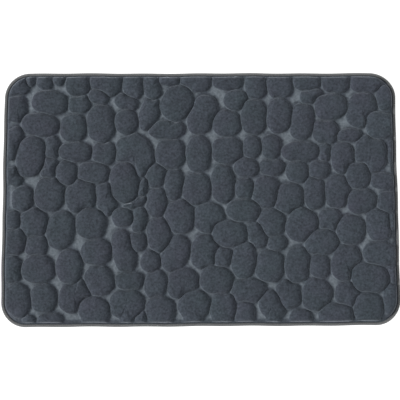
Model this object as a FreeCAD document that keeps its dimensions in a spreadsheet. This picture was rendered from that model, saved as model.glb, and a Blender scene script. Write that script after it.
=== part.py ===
"""A bath mat: a foam core under a fleece cover, on a grip-dotted backing, bound with a sewn tape.

The mat lies flat. Its origin is the middle of its underside, on the floor, with +X along
its length, +Y across its width and +Z up. Every layer is bonded or sewn to the next, so
nothing on it turns or slides. Sizes are millimetres.

From the floor up: grip dots, backing sheet, foam core, fleece cover. Round the edge the
layers are pressed into a thin lip, and a tape is folded over the lip and sewn through.
"""

import FreeCAD, Part
import math
import os

from Sketcher import Constraint

SIZES = {
    "mat_length": 700,
    "mat_width": 450,
    "mat_height": 15,
    "corner_radius": 45,
    "backing_thickness": 0.6,
    "foam_lip": 1.2,
    "fleece_lip": 1.2,
    "fleece_thickness": 2,
    "gutter": 1.5,
    "shoulder_radius": 9,
    "tape_thickness": 0.8,
    "tape_cover": 5,
    "tape_round": 1.6,
    "seam_inset": 3.2,
    "thread_width": 0.5,
    "dot_height": 0.8,
    "dot_width": 2.8,
    "dot_pitch": 12,
    "dot_margin": 14,
    "label_length": 38,
    "label_width": 20,
    "label_thickness": 0.3,
    "label_offset": 120,
}

# Heights above the floor, insets from the mat's outline and other sizes that follow from the ones above.
FOLLOWING = {
    "stand": "max(Sizes.dot_height; Sizes.tape_thickness)",
    "backing_top": "stand + Sizes.backing_thickness",
    "foam_lip_top": "backing_top + Sizes.foam_lip",
    "lip_top": "foam_lip_top + Sizes.fleece_lip",
    "tape_top": "lip_top + Sizes.tape_thickness",
    "tape_bottom": "stand - Sizes.tape_thickness",
    "crown": "Sizes.mat_height",
    "foam_top": "crown - Sizes.fleece_thickness",
    "label_bottom": "stand - Sizes.label_thickness",
    "needle_groove": "tape_top - Sizes.thread_width",
    "needle_height": "tape_top - Sizes.thread_width / 2",
    "bobbin_height": "tape_bottom + Sizes.thread_width / 2",
    "edge": "0",
    "lip_inset": "Sizes.tape_thickness",
    "tape_inset": "Sizes.tape_cover",
    "field_inset": "tape_inset + Sizes.gutter",
    "foam_inset": "field_inset + Sizes.fleece_thickness",
    "seam_line": "Sizes.seam_inset",
    "groove_outer": "seam_line - Sizes.thread_width / 2",
    "groove_inner": "seam_line + Sizes.thread_width / 2",
    "foam_shoulder": "Sizes.shoulder_radius - Sizes.fleece_thickness",
}

SAME_LEVEL = 1e-4
CLEARLY_FURTHER = 1e-3

doc = FreeCAD.newDocument("bath_mat")


def fill_sheet(name, cells, mark):
    """A sheet with an alias for each value. The mark before a value is "=" for a formula."""
    sheet = doc.addObject("Spreadsheet::Sheet", name)
    for row, (alias, value) in enumerate(cells.items(), start=1):
        sheet.set(f"A{row}", alias)
        sheet.set(f"B{row}", f"{mark}{value}")
        sheet.setAlias(f"B{row}", alias)
    doc.recompute()
    return sheet


sizes = fill_sheet("Sizes", SIZES, "")
following = fill_sheet("Following", FOLLOWING, "=")


def size(alias):
    """A driving size as the sheet holds it, in millimetres."""
    return float(sizes.get(alias))


def level(alias):
    """A height or inset that follows from the driving sizes, in millimetres."""
    return float(following.get(alias))


def new_body(label):
    """An empty body, named as its file will be."""
    body = doc.addObject("PartDesign::Body", label)
    body.Label = label
    return body


def new_sketch(body, name, plane="XY_Plane"):
    """An empty sketch on one of the body's own origin planes."""
    sketch = body.newObject("Sketcher::SketchObject", name)
    found = [f for f in body.Origin.OriginFeatures if f.Role == plane]
    sketch.AttachmentSupport = [(found[0], "")]
    sketch.MapMode = "FlatFace"
    return sketch


def add_rounded_rectangle(sketch, tag, inset):
    """Adds the mat's outline, moved in by an inset, to a sketch: a rectangle with round corners."""
    x = size("mat_length") / 2 - level(inset)
    y = size("mat_width") / 2 - level(inset)
    r = size("corner_radius") - level(inset)
    corners = ((x - r, -y + r, -90), (x - r, y - r, 0), (-x + r, y - r, 90), (-x + r, -y + r, 180))
    sides = (
        (-x + r, -y, x - r, -y),
        (x, -y + r, x, y - r),
        (x - r, y, -x + r, y),
        (-x, y - r, -x, -y + r),
    )
    up = FreeCAD.Vector(0, 0, 1)
    first = sketch.GeometryCount
    for x1, y1, x2, y2 in sides:
        sketch.addGeometry(Part.LineSegment(FreeCAD.Vector(x1, y1), FreeCAD.Vector(x2, y2)))
    for cx, cy, start in corners:
        circle = Part.Circle(FreeCAD.Vector(cx, cy), up, r)
        turn = math.radians(start)
        sketch.addGeometry(Part.ArcOfCircle(circle, turn, turn + math.pi / 2))
    for side in range(4):
        line, arc = first + side, first + 4 + side
        next_line = first + (side + 1) % 4
        sketch.addConstraint(Constraint("Tangent", line, 2, arc, 1))
        sketch.addConstraint(Constraint("Tangent", arc, 2, next_line, 1))
        sketch.addConstraint(Constraint("Horizontal" if side % 2 == 0 else "Vertical", line))
    for side in range(1, 4):
        sketch.addConstraint(Constraint("Equal", first + 4, first + 4 + side))
    sketch.addConstraint(Constraint("Symmetric", first, 1, first + 2, 1, -1, 1))
    for name, rule, expression in (
        ("length", Constraint("DistanceX", first + 3, 1, first + 1, 1, 2 * x), "Sizes.mat_length - 2 * "),
        ("width", Constraint("DistanceY", first, 1, first + 2, 2, 2 * y), "Sizes.mat_width - 2 * "),
        ("radius", Constraint("Radius", first + 4, r), "Sizes.corner_radius - "),
    ):
        index = sketch.addConstraint(rule)
        sketch.renameConstraint(index, f"{tag}_{name}")
        sketch.setExpression(f"Constraints.{tag}_{name}", f"{expression}Following.{inset}")


def outline(body, name, height, inset, inner_inset=None):
    """A sketch at a height: the mat's outline moved in by an inset, or the ring between two insets."""
    sketch = new_sketch(body, name)
    sketch.setExpression("AttachmentOffset.Base.z", f"Following.{height}")
    add_rounded_rectangle(sketch, "outer", inset)
    if inner_inset is not None:
        add_rounded_rectangle(sketch, "inner", inner_inset)
    return sketch


def pad(body, name, sketch, length):
    """Raises a sketch by an expression's length."""
    feature = body.newObject("PartDesign::Pad", name)
    feature.Profile = sketch
    feature.setExpression("Length", length)
    doc.recompute()
    return feature


def pocket_up(body, name, sketch, depth):
    """Cuts upwards from a sketch, and makes sure that it took something away."""
    before = body.Shape.Volume
    feature = body.newObject("PartDesign::Pocket", name)
    feature.Profile = sketch
    feature.Reversed = True
    feature.setExpression("Length", depth)
    doc.recompute()
    if feature.Shape.Volume >= before:
        raise RuntimeError(f"{name} cuts nothing")
    return feature


def fillet_level(body, name, height, radius, keep=lambda edge: True):
    """Rounds the edges of the body that lie level at a height, if keep says so."""
    z = level(height)
    base = body.Tip
    edges = []
    for number, edge in enumerate(base.Shape.Edges, start=1):
        box = edge.BoundBox
        lies_level = abs(box.ZMin - z) < SAME_LEVEL and abs(box.ZMax - z) < SAME_LEVEL
        if lies_level and keep(edge):
            edges.append(f"Edge{number}")
    feature = body.newObject("PartDesign::Fillet", name)
    feature.Base = (base, edges)
    feature.setExpression("Radius", radius)
    doc.recompute()
    return feature


def outside_of(inset):
    """A test for edges that lie further out than an inset in millimetres from the mat's outline."""
    reach_x = size("mat_length") / 2 - inset
    reach_y = size("mat_width") / 2 - inset

    def further_out(edge):
        box = edge.BoundBox
        far_x = max(abs(box.XMin), abs(box.XMax))
        far_y = max(abs(box.YMin), abs(box.YMax))
        return far_x > reach_x + CLEARLY_FURTHER or far_y > reach_y + CLEARLY_FURTHER

    return further_out


def make_backing_sheet():
    """The flat sheet under the foam. Its rim lies in the fold of the tape."""
    body = new_body("backing_sheet")
    sketch = outline(body, "backing_outline", "stand", "lip_inset")
    pad(body, "backing_pad", sketch, "Sizes.backing_thickness")
    return body


def make_foam_core():
    """The foam: a slab with a round shoulder, pressed to a thin lip round its edge."""
    body = new_body("foam_core")
    lip = outline(body, "foam_lip_outline", "backing_top", "lip_inset")
    pad(body, "foam_lip_pad", lip, "Sizes.foam_lip")
    field = outline(body, "foam_field_outline", "backing_top", "foam_inset")
    pad(body, "foam_field_pad", field, "Following.foam_top - Following.backing_top")
    fillet_level(body, "foam_field_shoulder", "foam_top", "Following.foam_shoulder")
    return body


def make_fleece_cover(foam):
    """The fleece over the foam: a lip and a round shoulder, with the foam's own shape cut out of it."""
    blank = new_body("fleece_blank")
    lip = outline(blank, "fleece_lip_outline", "foam_lip_top", "lip_inset")
    pad(blank, "fleece_lip_pad", lip, "Sizes.fleece_lip")
    field = outline(blank, "fleece_field_outline", "foam_lip_top", "field_inset")
    pad(blank, "fleece_field_pad", field, "Following.crown - Following.foam_lip_top")
    fillet_level(blank, "fleece_shoulder", "crown", "Sizes.shoulder_radius")
    cover = doc.addObject("Part::Cut", "fleece_cover")
    cover.Base = blank
    cover.Tool = foam
    doc.recompute()
    return cover


def make_edge_binding():
    """The tape folded over the lip: a C section all the way round, with a groove for each thread."""
    body = new_body("edge_binding")
    ring = outline(body, "tape_outline", "tape_bottom", "edge", "tape_inset")
    pad(body, "tape_pad", ring, "Following.tape_top - Following.tape_bottom")
    fold = outline(body, "tape_fold_outline", "stand", "lip_inset", "tape_inset")
    pocket_up(body, "tape_fold", fold, "Following.lip_top - Following.stand")
    outer = outside_of(size("tape_cover") / 2)
    fillet_level(body, "tape_top_round", "tape_top", "Sizes.tape_round", outer)
    fillet_level(body, "tape_bottom_round", "tape_bottom", "Sizes.tape_round", outer)
    for name, height in (("needle_groove", "needle_groove"), ("bobbin_groove", "tape_bottom")):
        groove = outline(body, f"{name}_outline", height, "groove_outer", "groove_inner")
        pocket_up(body, name, groove, "Sizes.thread_width")
    cut_label_slot(body)
    return body


def label_rectangle(body, name):
    """A sketch of the label's outline, under one short edge of the mat."""
    sketch = new_sketch(body, name)
    sketch.setExpression("AttachmentOffset.Base.x", "Following.lip_inset - Sizes.mat_length / 2")
    sketch.setExpression("AttachmentOffset.Base.y", "-Sizes.label_offset")
    sketch.setExpression("AttachmentOffset.Base.z", "Following.label_bottom")
    long = size("label_length")
    half = size("label_width") / 2
    points = [FreeCAD.Vector(*p) for p in ((0, -half), (long, -half), (long, half), (0, half))]
    for side in range(4):
        sketch.addGeometry(Part.LineSegment(points[side], points[(side + 1) % 4]))
    for side in range(4):
        sketch.addConstraint(Constraint("Coincident", side, 2, (side + 1) % 4, 1))
        sketch.addConstraint(Constraint("Horizontal" if side % 2 == 0 else "Vertical", side))
    sketch.addConstraint(Constraint("Symmetric", 0, 1, 3, 1, -1, 1))
    for alias, rule in (
        ("label_length", Constraint("DistanceX", 0, 1, 0, 2, long)),
        ("label_width", Constraint("DistanceY", 1, 1, 1, 2, 2 * half)),
    ):
        index = sketch.addConstraint(rule)
        sketch.renameConstraint(index, alias)
        sketch.setExpression(f"Constraints.{alias}", f"Sizes.{alias}")
    return sketch


def cut_label_slot(body):
    """Leaves room in the tape's lower flap for the end of the label that is caught under it."""
    pocket_up(body, "label_slot", label_rectangle(body, "label_slot_outline"), "Sizes.label_thickness")


def make_care_label():
    """A blank care label, with one end sewn in under the tape."""
    body = new_body("care_label")
    pad(body, "label_pad", label_rectangle(body, "label_outline"), "Sizes.label_thickness")
    return body


def make_seam_thread(label, height):
    """A thread that runs round the mat in its groove, with its middle at a height."""
    body = new_body(label)
    path = outline(body, f"{label}_path", height, "seam_line")
    section = new_sketch(body, f"{label}_section", "YZ_Plane")
    section.setExpression("AttachmentOffset.Base.x", "Following.seam_line - Sizes.mat_width / 2")
    section.setExpression("AttachmentOffset.Base.y", f"Following.{height}")
    section.setExpression("AttachmentOffset.Base.z", "Sizes.corner_radius - Sizes.mat_length / 2")
    radius = size("thread_width") / 2
    section.addGeometry(Part.Circle(FreeCAD.Vector(0, 0), FreeCAD.Vector(0, 0, 1), radius))
    section.addConstraint(Constraint("Coincident", 0, 3, -1, 1))
    index = section.addConstraint(Constraint("Radius", 0, radius))
    section.renameConstraint(index, "thread_radius")
    section.setExpression("Constraints.thread_radius", "Sizes.thread_width / 2")
    doc.recompute()
    pipe = body.newObject("PartDesign::AdditivePipe", f"{label}_pipe")
    pipe.Profile = section
    pipe.Spine = path
    doc.recompute()
    return body


def make_grip_dots():
    """Domed dots printed under the backing, in rows that step by half a pitch."""
    stand = level("stand")
    height = size("dot_height")
    base = size("dot_width") / 2
    pitch = size("dot_pitch")
    sphere = (base**2 + height**2) / (2 * height)
    slope = math.degrees(math.asin((sphere - height) / sphere))
    centre = FreeCAD.Vector(0, 0, stand + sphere - height)
    dot = Part.makeSphere(sphere, centre, FreeCAD.Vector(0, 0, -1), slope, 90)
    reach_x = size("mat_length") / 2 - size("dot_margin")
    reach_y = size("mat_width") / 2 - size("dot_margin")
    corner = size("corner_radius") - size("dot_margin")
    row_gap = pitch * math.sqrt(3) / 2
    rows = int(reach_y / row_gap)
    dots = []
    for row in range(-rows, rows + 1):
        shift = pitch / 2 * (row % 2)
        y = row * row_gap
        columns = int((reach_x + shift) / pitch)
        for column in range(-columns, columns + 1):
            x = column * pitch + shift
            if inside_corners(x, y, reach_x, reach_y, corner) and not on_label(x, y, base):
                dots.append(dot.translated(FreeCAD.Vector(x, y, 0)))
    feature = doc.addObject("Part::Feature", "grip_dots")
    feature.Label = "grip_dots"
    feature.Shape = Part.makeCompound(dots)
    return feature


def inside_corners(x, y, reach_x, reach_y, corner):
    """Whether a point lies in a rectangle with round corners about the origin."""
    over_x = abs(x) - (reach_x - corner)
    over_y = abs(y) - (reach_y - corner)
    if over_x > 0 and over_y > 0:
        return math.hypot(over_x, over_y) <= corner
    return over_x <= corner and over_y <= corner


def on_label(x, y, clear):
    """Whether a dot there would meet the label."""
    start = level("lip_inset") - size("mat_length") / 2
    along = start - clear <= x <= start + size("label_length") + clear
    across = abs(y + size("label_offset")) <= size("label_width") / 2 + clear
    return along and across


foam_core = make_foam_core()
sub_parts = [
    make_grip_dots(),
    make_backing_sheet(),
    foam_core,
    make_fleece_cover(foam_core),
    make_edge_binding(),
    make_seam_thread("seam_needle_thread", "needle_height"),
    make_seam_thread("seam_bobbin_thread", "bobbin_height"),
    make_care_label(),
]
doc.recompute()

for thing in doc.Objects:
    faults = [state for state in thing.State if state in ("Invalid", "Error")]
    if faults:
        raise RuntimeError(f"{thing.Label} is {faults}")

os.makedirs("parts", exist_ok=True)
for sub_part in sub_parts:
    shape = sub_part.Shape
    if shape.isNull() or not shape.isValid():
        raise RuntimeError(f"{sub_part.Label} has no valid shape")
    shape.exportStep(f"parts/{sub_part.Label}.step")
    print(f"{sub_part.Label}: {len(shape.Solids)} solids, {shape.Volume / 1000:.2f} cm3")
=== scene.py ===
# %% [markdown]
# # A bath mat, from its frame to its pile
#
# The mat is a slab of soft foam under a dark fleece. The two were pressed together in a hot mould, so that
# the face looks like flat river stones. A narrow tape is folded over the rim and sewn through. Underneath is
# a knitted backing with rubber dots. The frame gives the sizes that matter, and this lesson dresses it.

# %% Frame and tools
import math

import bpy
import numpy as np
from mathutils import Matrix, Vector, geometry, noise


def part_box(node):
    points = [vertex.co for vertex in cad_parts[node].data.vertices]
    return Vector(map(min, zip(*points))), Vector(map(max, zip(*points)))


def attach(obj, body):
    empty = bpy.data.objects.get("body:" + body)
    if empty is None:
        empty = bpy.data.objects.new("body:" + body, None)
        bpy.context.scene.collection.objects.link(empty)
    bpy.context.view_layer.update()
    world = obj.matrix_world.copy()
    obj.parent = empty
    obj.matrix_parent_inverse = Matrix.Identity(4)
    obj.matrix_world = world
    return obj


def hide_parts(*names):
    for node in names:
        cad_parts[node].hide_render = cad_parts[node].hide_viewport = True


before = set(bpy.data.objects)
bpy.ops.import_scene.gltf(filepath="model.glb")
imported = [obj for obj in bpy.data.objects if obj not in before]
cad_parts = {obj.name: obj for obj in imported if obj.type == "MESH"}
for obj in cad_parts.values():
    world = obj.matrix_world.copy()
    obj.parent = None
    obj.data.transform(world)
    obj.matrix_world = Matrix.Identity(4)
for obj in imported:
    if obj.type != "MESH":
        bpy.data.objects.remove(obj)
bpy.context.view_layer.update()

MM = 0.001
MILLILITRE = 1e-6

# %% [markdown]
# ## Sizes that come from the frame
#
# Each layer of a real mat is cut to the one beneath it. Here the layers' boxes say where the tape ends,
# where the lip lies and how high the fleece stands, so nothing is measured twice. Only what a box can't
# tell, such as the corner's radius and the width of a fold, is named here.

# %% Sizes
tape_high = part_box("edge_binding")[1]
fleece_low, fleece_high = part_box("fleece_cover")
backing_low, backing_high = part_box("backing_sheet")
dots_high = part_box("grip_dots")[1]
needle_low, needle_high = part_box("seam_needle_thread")
bobbin_low, bobbin_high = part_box("seam_bobbin_thread")
label_low, label_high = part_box("care_label")

HALF_LENGTH = tape_high[0]
HALF_WIDTH = tape_high[1]
TAPE_TOP = tape_high[2]
CROWN = fleece_high[2]
LIP_INSET = HALF_LENGTH - fleece_high[0]
THREAD = needle_high[2] - needle_low[2]
SEAM_INSET = HALF_LENGTH - needle_high[0] + THREAD / 2

CORNER = 45 * MM
TAPE_COVER = 5 * MM
TAPE_THICKNESS = 0.8 * MM
LIP_TOP = TAPE_TOP - TAPE_THICKNESS
print("mat in mm:", [round(2 * half / MM) for half in (HALF_LENGTH, HALF_WIDTH)], round(CROWN / MM))

# %% [markdown]
# ## Distance from the rim
#
# Much of the mat depends on how far a spot lies inside its outline: the tape covers the first millimetres,
# then comes a gutter, then the pile rises. One formula gives that inset for a rectangle with round corners,
# and one walk follows the same outline, so that every layer keeps to the same curve.


# %% Outline
def inset_of(x, y):
    """How far inside the mat's outline the plan points lie."""
    over_x = np.abs(x) - (HALF_LENGTH - CORNER)
    over_y = np.abs(y) - (HALF_WIDTH - CORNER)
    past = np.hypot(np.maximum(over_x, 0), np.maximum(over_y, 0))
    return CORNER - past - np.minimum(np.maximum(over_x, over_y), 0)


def walk(x, y, heading, length, radius):
    """Where a walk from a place ends, straight on or, with a radius, round a left-hand bend."""
    if not radius:
        return x + length * math.cos(heading), y + length * math.sin(heading), heading
    turned = heading + length / radius
    ahead = radius * (math.sin(turned) - math.sin(heading))
    aside = radius * (math.cos(heading) - math.cos(turned))
    return x + ahead, y + aside, turned


def round_the_mat(inset, step):
    """Plan points about a step apart round the mat at an inset, from the middle of the front edge."""
    radius = CORNER - inset
    across = HALF_LENGTH - CORNER
    deep = 2 * (HALF_WIDTH - CORNER)
    bend = radius * math.pi / 2
    runs = [across, bend, deep, bend, 2 * across, bend, deep, bend, across]
    count = round(sum(runs) / step)
    x, y, heading = 0.0, -HALF_WIDTH + inset, 0.0
    spots = []
    gone = 0.0
    run = 0
    for number in range(count):
        along = number * sum(runs) / count
        while along - gone > runs[run]:
            x, y, heading = walk(x, y, heading, runs[run], radius * (run % 2))
            gone += runs[run]
            run += 1
        spots.append(walk(x, y, heading, along - gone, radius * (run % 2))[:2])
    return np.array(spots)


print("round the rim:", len(round_the_mat(0, MM)), "mm")

# %% [markdown]
# ## How a soft mat lies
#
# No sewn edge is ruler-straight, and a foam mat never lies quite flat: its outline sways by half a
# millimetre, and its rim lifts a little here and there. Every layer passes through the same small shift at
# the end, so that the layers stay together.

# %% Settling
# A wave is its share of the sway, the distance over which it bends and where it starts.
SWAY = 0.5 * MM
WAVES_OVER_WIDTH = [(0.6, 14 * MM, 0.6), (0.7, 31 * MM, 2.2)]
WAVES_OVER_LENGTH = [(0.7, 15 * MM, 1.9), (0.6, 43 * MM, 0.4)]
LIFT = 0.8 * MM
LIFT_REACH = 55 * MM
LIFT_BEND_X = 52 * MM
LIFT_BEND_Y = 83 * MM
LIFT_START = 2.4


def swaying(spots, waves):
    """A sum of waves at spots along a line."""
    return sum(share * np.sin(spots / bend + start) for share, bend, start in waves)


def settled(points):
    """The points, moved to where the finished mat has them on the floor."""
    x, y, z = np.array(points, dtype=float).T
    sway_x = swaying(y, WAVES_OVER_WIDTH)
    sway_y = swaying(x, WAVES_OVER_LENGTH)
    near_rim = np.clip(1 - inset_of(x, y) / LIFT_REACH, 0, 1) ** 2
    rise = 0.5 + 0.5 * np.sin(x / LIFT_BEND_X + y / LIFT_BEND_Y + LIFT_START)
    return np.stack([x + SWAY * sway_x, y + SWAY * sway_y, z + LIFT * near_rim * rise], axis=1)


print("sway in mm:", round(SWAY * sum(wave[0] for wave in WAVES_OVER_WIDTH) / MM, 2), "lift:", LIFT / MM)


# %% [markdown]
# ## Pieces from points and faces
#
# Each layer is worked out as arrays of points, so one helper turns arrays into a piece. Its object sits at
# the origin and its place is in its mesh, like a frame node's. Values that a material reads, such as how
# hard the pile was pressed, are stored on the points.


# %% Piece helpers
def new_object(name, data):
    """An object at the origin for a mesh, a curve, a light or a camera."""
    made = bpy.data.objects.new(name, data)
    bpy.context.scene.collection.objects.link(made)
    return made


def new_piece(name, points, faces, finish, values=None):
    """A smooth-shaded piece made of points and faces, with a finish and named values on its points."""
    mesh = bpy.data.meshes.new(name)
    mesh.from_pydata([tuple(point) for point in points], [], faces)
    for label, numbers in (values or {}).items():
        mesh.attributes.new(label, "FLOAT", "POINT").data.foreach_set("value", np.array(numbers, np.float32))
    mesh.shade_smooth()
    mesh.materials.append(finish)
    print(name, "faces:", len(mesh.polygons), "volume in ml:", round(signed_volume(mesh) / MILLILITRE, 2))
    return new_object(name, mesh)


def signed_volume(mesh):
    """The volume inside a closed mesh, below zero where its faces point inwards."""
    mesh.calc_loop_triangles()
    corners = np.zeros(len(mesh.loop_triangles) * 3, np.int32)
    mesh.loop_triangles.foreach_get("vertices", corners)
    places = np.zeros(len(mesh.vertices) * 3)
    mesh.vertices.foreach_get("co", places)
    a, b, c = np.moveaxis(places.reshape(-1, 3)[corners.reshape(-1, 3)], 1, 0)
    return float(np.einsum("ij,ij->i", a, np.cross(b, c)).sum() / 6)


# %% [markdown]
# ## Node trees in few lines
#
# Materials and Geometry Nodes are both graphs. This small builder makes a node, sets it and wires it in one
# call, so that a tree reads like the recipe that it is.


# %% Node builder
class Recipe:
    """Adds wired nodes to one tree. An input takes a plain value or another node's output."""

    def __init__(self, tree):
        self.tree = tree

    def add(self, kind, inputs, **settings):
        """A new node, set and wired."""
        node = self.tree.nodes.new(kind)
        for name, value in settings.items():
            setattr(node, name, value)
        self.wire(node, inputs)
        return node

    def wire(self, node, inputs):
        """Gives a node's inputs, found by name or number, their values or wires."""
        for name, value in inputs.items():
            if isinstance(value, bpy.types.NodeSocket):
                self.tree.links.new(value, node.inputs[name])
            else:
                node.inputs[name].default_value = value

    def math(self, operation, *terms, clamp=False):
        """The result of one sum on numbers."""
        terms = dict(enumerate(terms))
        return self.add("ShaderNodeMath", terms, operation=operation, use_clamp=clamp).outputs[0]

    def vector(self, operation, inputs):
        """The result of one sum on vectors."""
        return self.add("ShaderNodeVectorMath", inputs, operation=operation).outputs[0]

    def group(self, tree, inputs):
        """The outputs of a node group placed in this tree."""
        node = self.tree.nodes.new(self.tree.bl_idname.replace("Tree", "Group"))
        node.node_tree = tree
        self.wire(node, inputs)
        return node.outputs


def new_group(name, kind, inputs, outputs):
    """An empty node group with named sockets: its Recipe, what it is given and where its results go."""
    tree = bpy.data.node_groups.new(name, kind)
    for label, (socket_type, default) in inputs.items():
        socket = tree.interface.new_socket(label, in_out="INPUT", socket_type="NodeSocket" + socket_type)
        if default is not None:
            socket.default_value = default
    for label, socket_type in outputs.items():
        tree.interface.new_socket(label, in_out="OUTPUT", socket_type="NodeSocket" + socket_type)
    recipe = Recipe(tree)
    print("tree:", name, "with inputs", list(inputs))
    return recipe, recipe.add("NodeGroupInput", {}).outputs, recipe.add("NodeGroupOutput", {})


# %% [markdown]
# ## Effects that the cloths share
#
# Pile is thousands of short fibres in small tufts: seen from above it is a fine grain in clumps. Yarn takes
# dye unevenly, which gives every cloth a soft mottle. A knit or a woven tape is rows of small bumps. Each
# is built once as a group and placed in a material with its own scale.

# %% Pile grain
recipe, given, result = new_group(
    "pile_grain",
    "ShaderNodeTree",
    {"Place": ("Vector", None), "Fibres": ("Float", 900.0), "Tufts": ("Float", 360.0)},
    {"Height": "Float", "Tone": "Float"},
)
fibres = recipe.add(
    "ShaderNodeTexNoise",
    {"Vector": given["Place"], "Scale": given["Fibres"], "Detail": 3.0, "Roughness": 0.7},
)
drift = recipe.add("ShaderNodeTexNoise", {"Vector": given["Place"], "Scale": given["Tufts"], "Detail": 1.0})
bent = recipe.vector("MULTIPLY_ADD", {0: drift.outputs["Color"], 1: (0.003,) * 3, 2: given["Place"]})
tufts = recipe.add("ShaderNodeTexVoronoi", {"Vector": bent, "Scale": given["Tufts"]}, feature="SMOOTH_F1")
dome = recipe.math("SUBTRACT", 1.0, tufts.outputs["Distance"])
both = recipe.math("MULTIPLY_ADD", fibres.outputs["Fac"], 0.6, recipe.math("MULTIPLY", dome, 0.4))
tone = recipe.math("MULTIPLY_ADD", fibres.outputs["Fac"], 0.9, recipe.math("MULTIPLY_ADD", dome, 0.35, 0.33))
recipe.wire(result, {"Height": both, "Tone": tone})
PILE_GRAIN = recipe.tree

# %% Yarn mottle
recipe, given, result = new_group(
    "yarn_mottle",
    "ShaderNodeTree",
    {"Place": ("Vector", None), "Scale": ("Float", 60.0), "Low": ("Float", 0.85), "High": ("Float", 1.15)},
    {"Tone": "Float"},
)
clouds = recipe.add(
    "ShaderNodeTexNoise", {"Vector": given["Place"], "Scale": given["Scale"], "Detail": 4.0, "Roughness": 0.6}
)
span = {"Value": clouds.outputs["Fac"], "From Min": 0.3, "From Max": 0.7}
toned = recipe.add("ShaderNodeMapRange", {**span, "To Min": given["Low"], "To Max": given["High"]})
recipe.wire(result, {"Tone": toned.outputs["Result"]})
YARN_MOTTLE = recipe.tree

# %% Thread rows
recipe, given, result = new_group(
    "thread_rows",
    "ShaderNodeTree",
    {
        "Along": ("Float", 0.0),
        "Across": ("Float", 0.0),
        "Row Pitch": ("Float", 0.0006),
        "Stitch Pitch": ("Float", 0.0005),
    },
    {"Height": "Float", "Gap": "Float"},
)
turns = [
    recipe.math("MULTIPLY", recipe.math("DIVIDE", given[label], given[pitch]), math.tau)
    for label, pitch in (("Along", "Row Pitch"), ("Across", "Stitch Pitch"))
]
half_turn = recipe.math("MULTIPLY", turns[0], 0.5)
ribs = recipe.math("ABSOLUTE", recipe.math("SINE", half_turn))
legs = recipe.math("ABSOLUTE", recipe.math("SINE", recipe.math("ADD", turns[1], half_turn)))
rows = recipe.math("MULTIPLY_ADD", legs, 0.3, recipe.math("MULTIPLY", ribs, 0.7))
gap = recipe.math("SUBTRACT", 1.0, rows, clamp=True)
recipe.wire(result, {"Height": rows, "Gap": gap})
THREAD_ROWS = recipe.tree

# %% [markdown]
# ## Finishes
#
# Every finish is one Principled shader and a recipe for what varies over the surface: its colour, and bumps
# that are finer than the mesh. Images could do that too, but a recipe has no seams and no fixed size. What
# is the same all over, such as sheen, is set on the shader's own socket.


# %% Finish helpers
def new_finish(name, **uniform):
    """A material with one Principled shader: the material, its Recipe, the shader and Object coordinates."""
    finish = bpy.data.materials.new(name)
    finish.use_nodes = True
    finish.node_tree.nodes.clear()
    recipe = Recipe(finish.node_tree)
    settings = {label.replace("_", " "): value for label, value in uniform.items()}
    shader = recipe.add("ShaderNodeBsdfPrincipled", settings)
    recipe.add("ShaderNodeOutputMaterial", {"Surface": shader.outputs[0]})
    print("finish:", name, "with", settings)
    return finish, recipe, shader, recipe.add("ShaderNodeTexCoord", {}).outputs["Object"]


def stored(recipe, name):
    """A value that the mesh carries on its points."""
    return recipe.add("ShaderNodeAttribute", {}, attribute_name=name).outputs["Fac"]


def toned(recipe, colour, *tones):
    """A colour scaled by tones that vary over the surface."""
    shade = tones[0]
    for tone in tones[1:]:
        shade = recipe.math("MULTIPLY", shade, tone)
    return recipe.vector("SCALE", {0: colour, "Scale": shade})


def add_relief(recipe, shader, height, depth):
    """Bumps of a depth on the shader, from a height that runs from 0 to 1."""
    bump = recipe.add("ShaderNodeBump", {"Strength": 1.0, "Distance": depth, "Height": height})
    recipe.wire(shader, {"Normal": bump.outputs[0]})


# %% [markdown]
# ## Fleece
#
# The pile isn't one colour. Two dyes that differ a little drift over the mat, and the tufts have a grain.
# Heat crushed the ground between the stones, where the fibres lie flat and look lighter. The mesh carries
# a value for that, which also holds painted light and shade: a painted highlight along the rims that face
# the light, and painted shadow on the ground beside each stone's shaded side. A second value, tone, sets
# each stone slightly apart and paints a faint sheen on its rims. Both follow the stones, and no texture
# could know where those are. Sheen stands for fibre tips that catch the light at a slant.

# %% Fleece
VIOLET_PILE = (0.0212, 0.0238, 0.0315, 1.0)
TEAL_PILE = (0.0192, 0.0252, 0.0303, 1.0)
CRUSHED_PILE = (0.060, 0.070, 0.080)
PILE_BUMP = 0.6 * MM

FLEECE, recipe, shader, place = new_finish(
    "pebbled_fleece",
    Roughness=0.9,
    Specular_IOR_Level=0.1,
    Sheen_Weight=0.25,
    Sheen_Roughness=0.4,
    Sheen_Tint=(0.80, 0.86, 0.95, 1.0),
)
grain = recipe.group(PILE_GRAIN, {"Place": place})
broad = recipe.group(YARN_MOTTLE, {"Place": place, "Scale": 28.0, "Low": 0.93, "High": 1.07})
brushed = recipe.group(YARN_MOTTLE, {"Place": place, "Scale": 260.0, "Low": 0.6, "High": 1.45})
patchy = recipe.group(YARN_MOTTLE, {"Place": place, "Scale": 240.0, "Low": 0.74, "High": 1.3})
hue = recipe.group(YARN_MOTTLE, {"Place": place, "Scale": 19.0, "Low": 0.0, "High": 1.0})
dyes = recipe.add("ShaderNodeMix", {0: hue["Tone"], 6: VIOLET_PILE, 7: TEAL_PILE}, data_type="RGBA")
# The tone value holds each stone's own tone and a painted sheen along its rims.
pile = toned(recipe, dyes.outputs[2], broad["Tone"], brushed["Tone"], stored(recipe, "tone"), grain["Tone"])
crushed = toned(recipe, CRUSHED_PILE, broad["Tone"], patchy["Tone"])
# The crushed colour is mixed in by a value that also holds a painted highlight and painted shadow.
blend = recipe.add("ShaderNodeMix", {0: stored(recipe, "crush_and_painted_light"), 6: pile, 7: crushed}, data_type="RGBA")
recipe.wire(shader, {"Base Color": blend.outputs[2]})
add_relief(recipe, shader, grain["Height"], PILE_BUMP)

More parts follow.
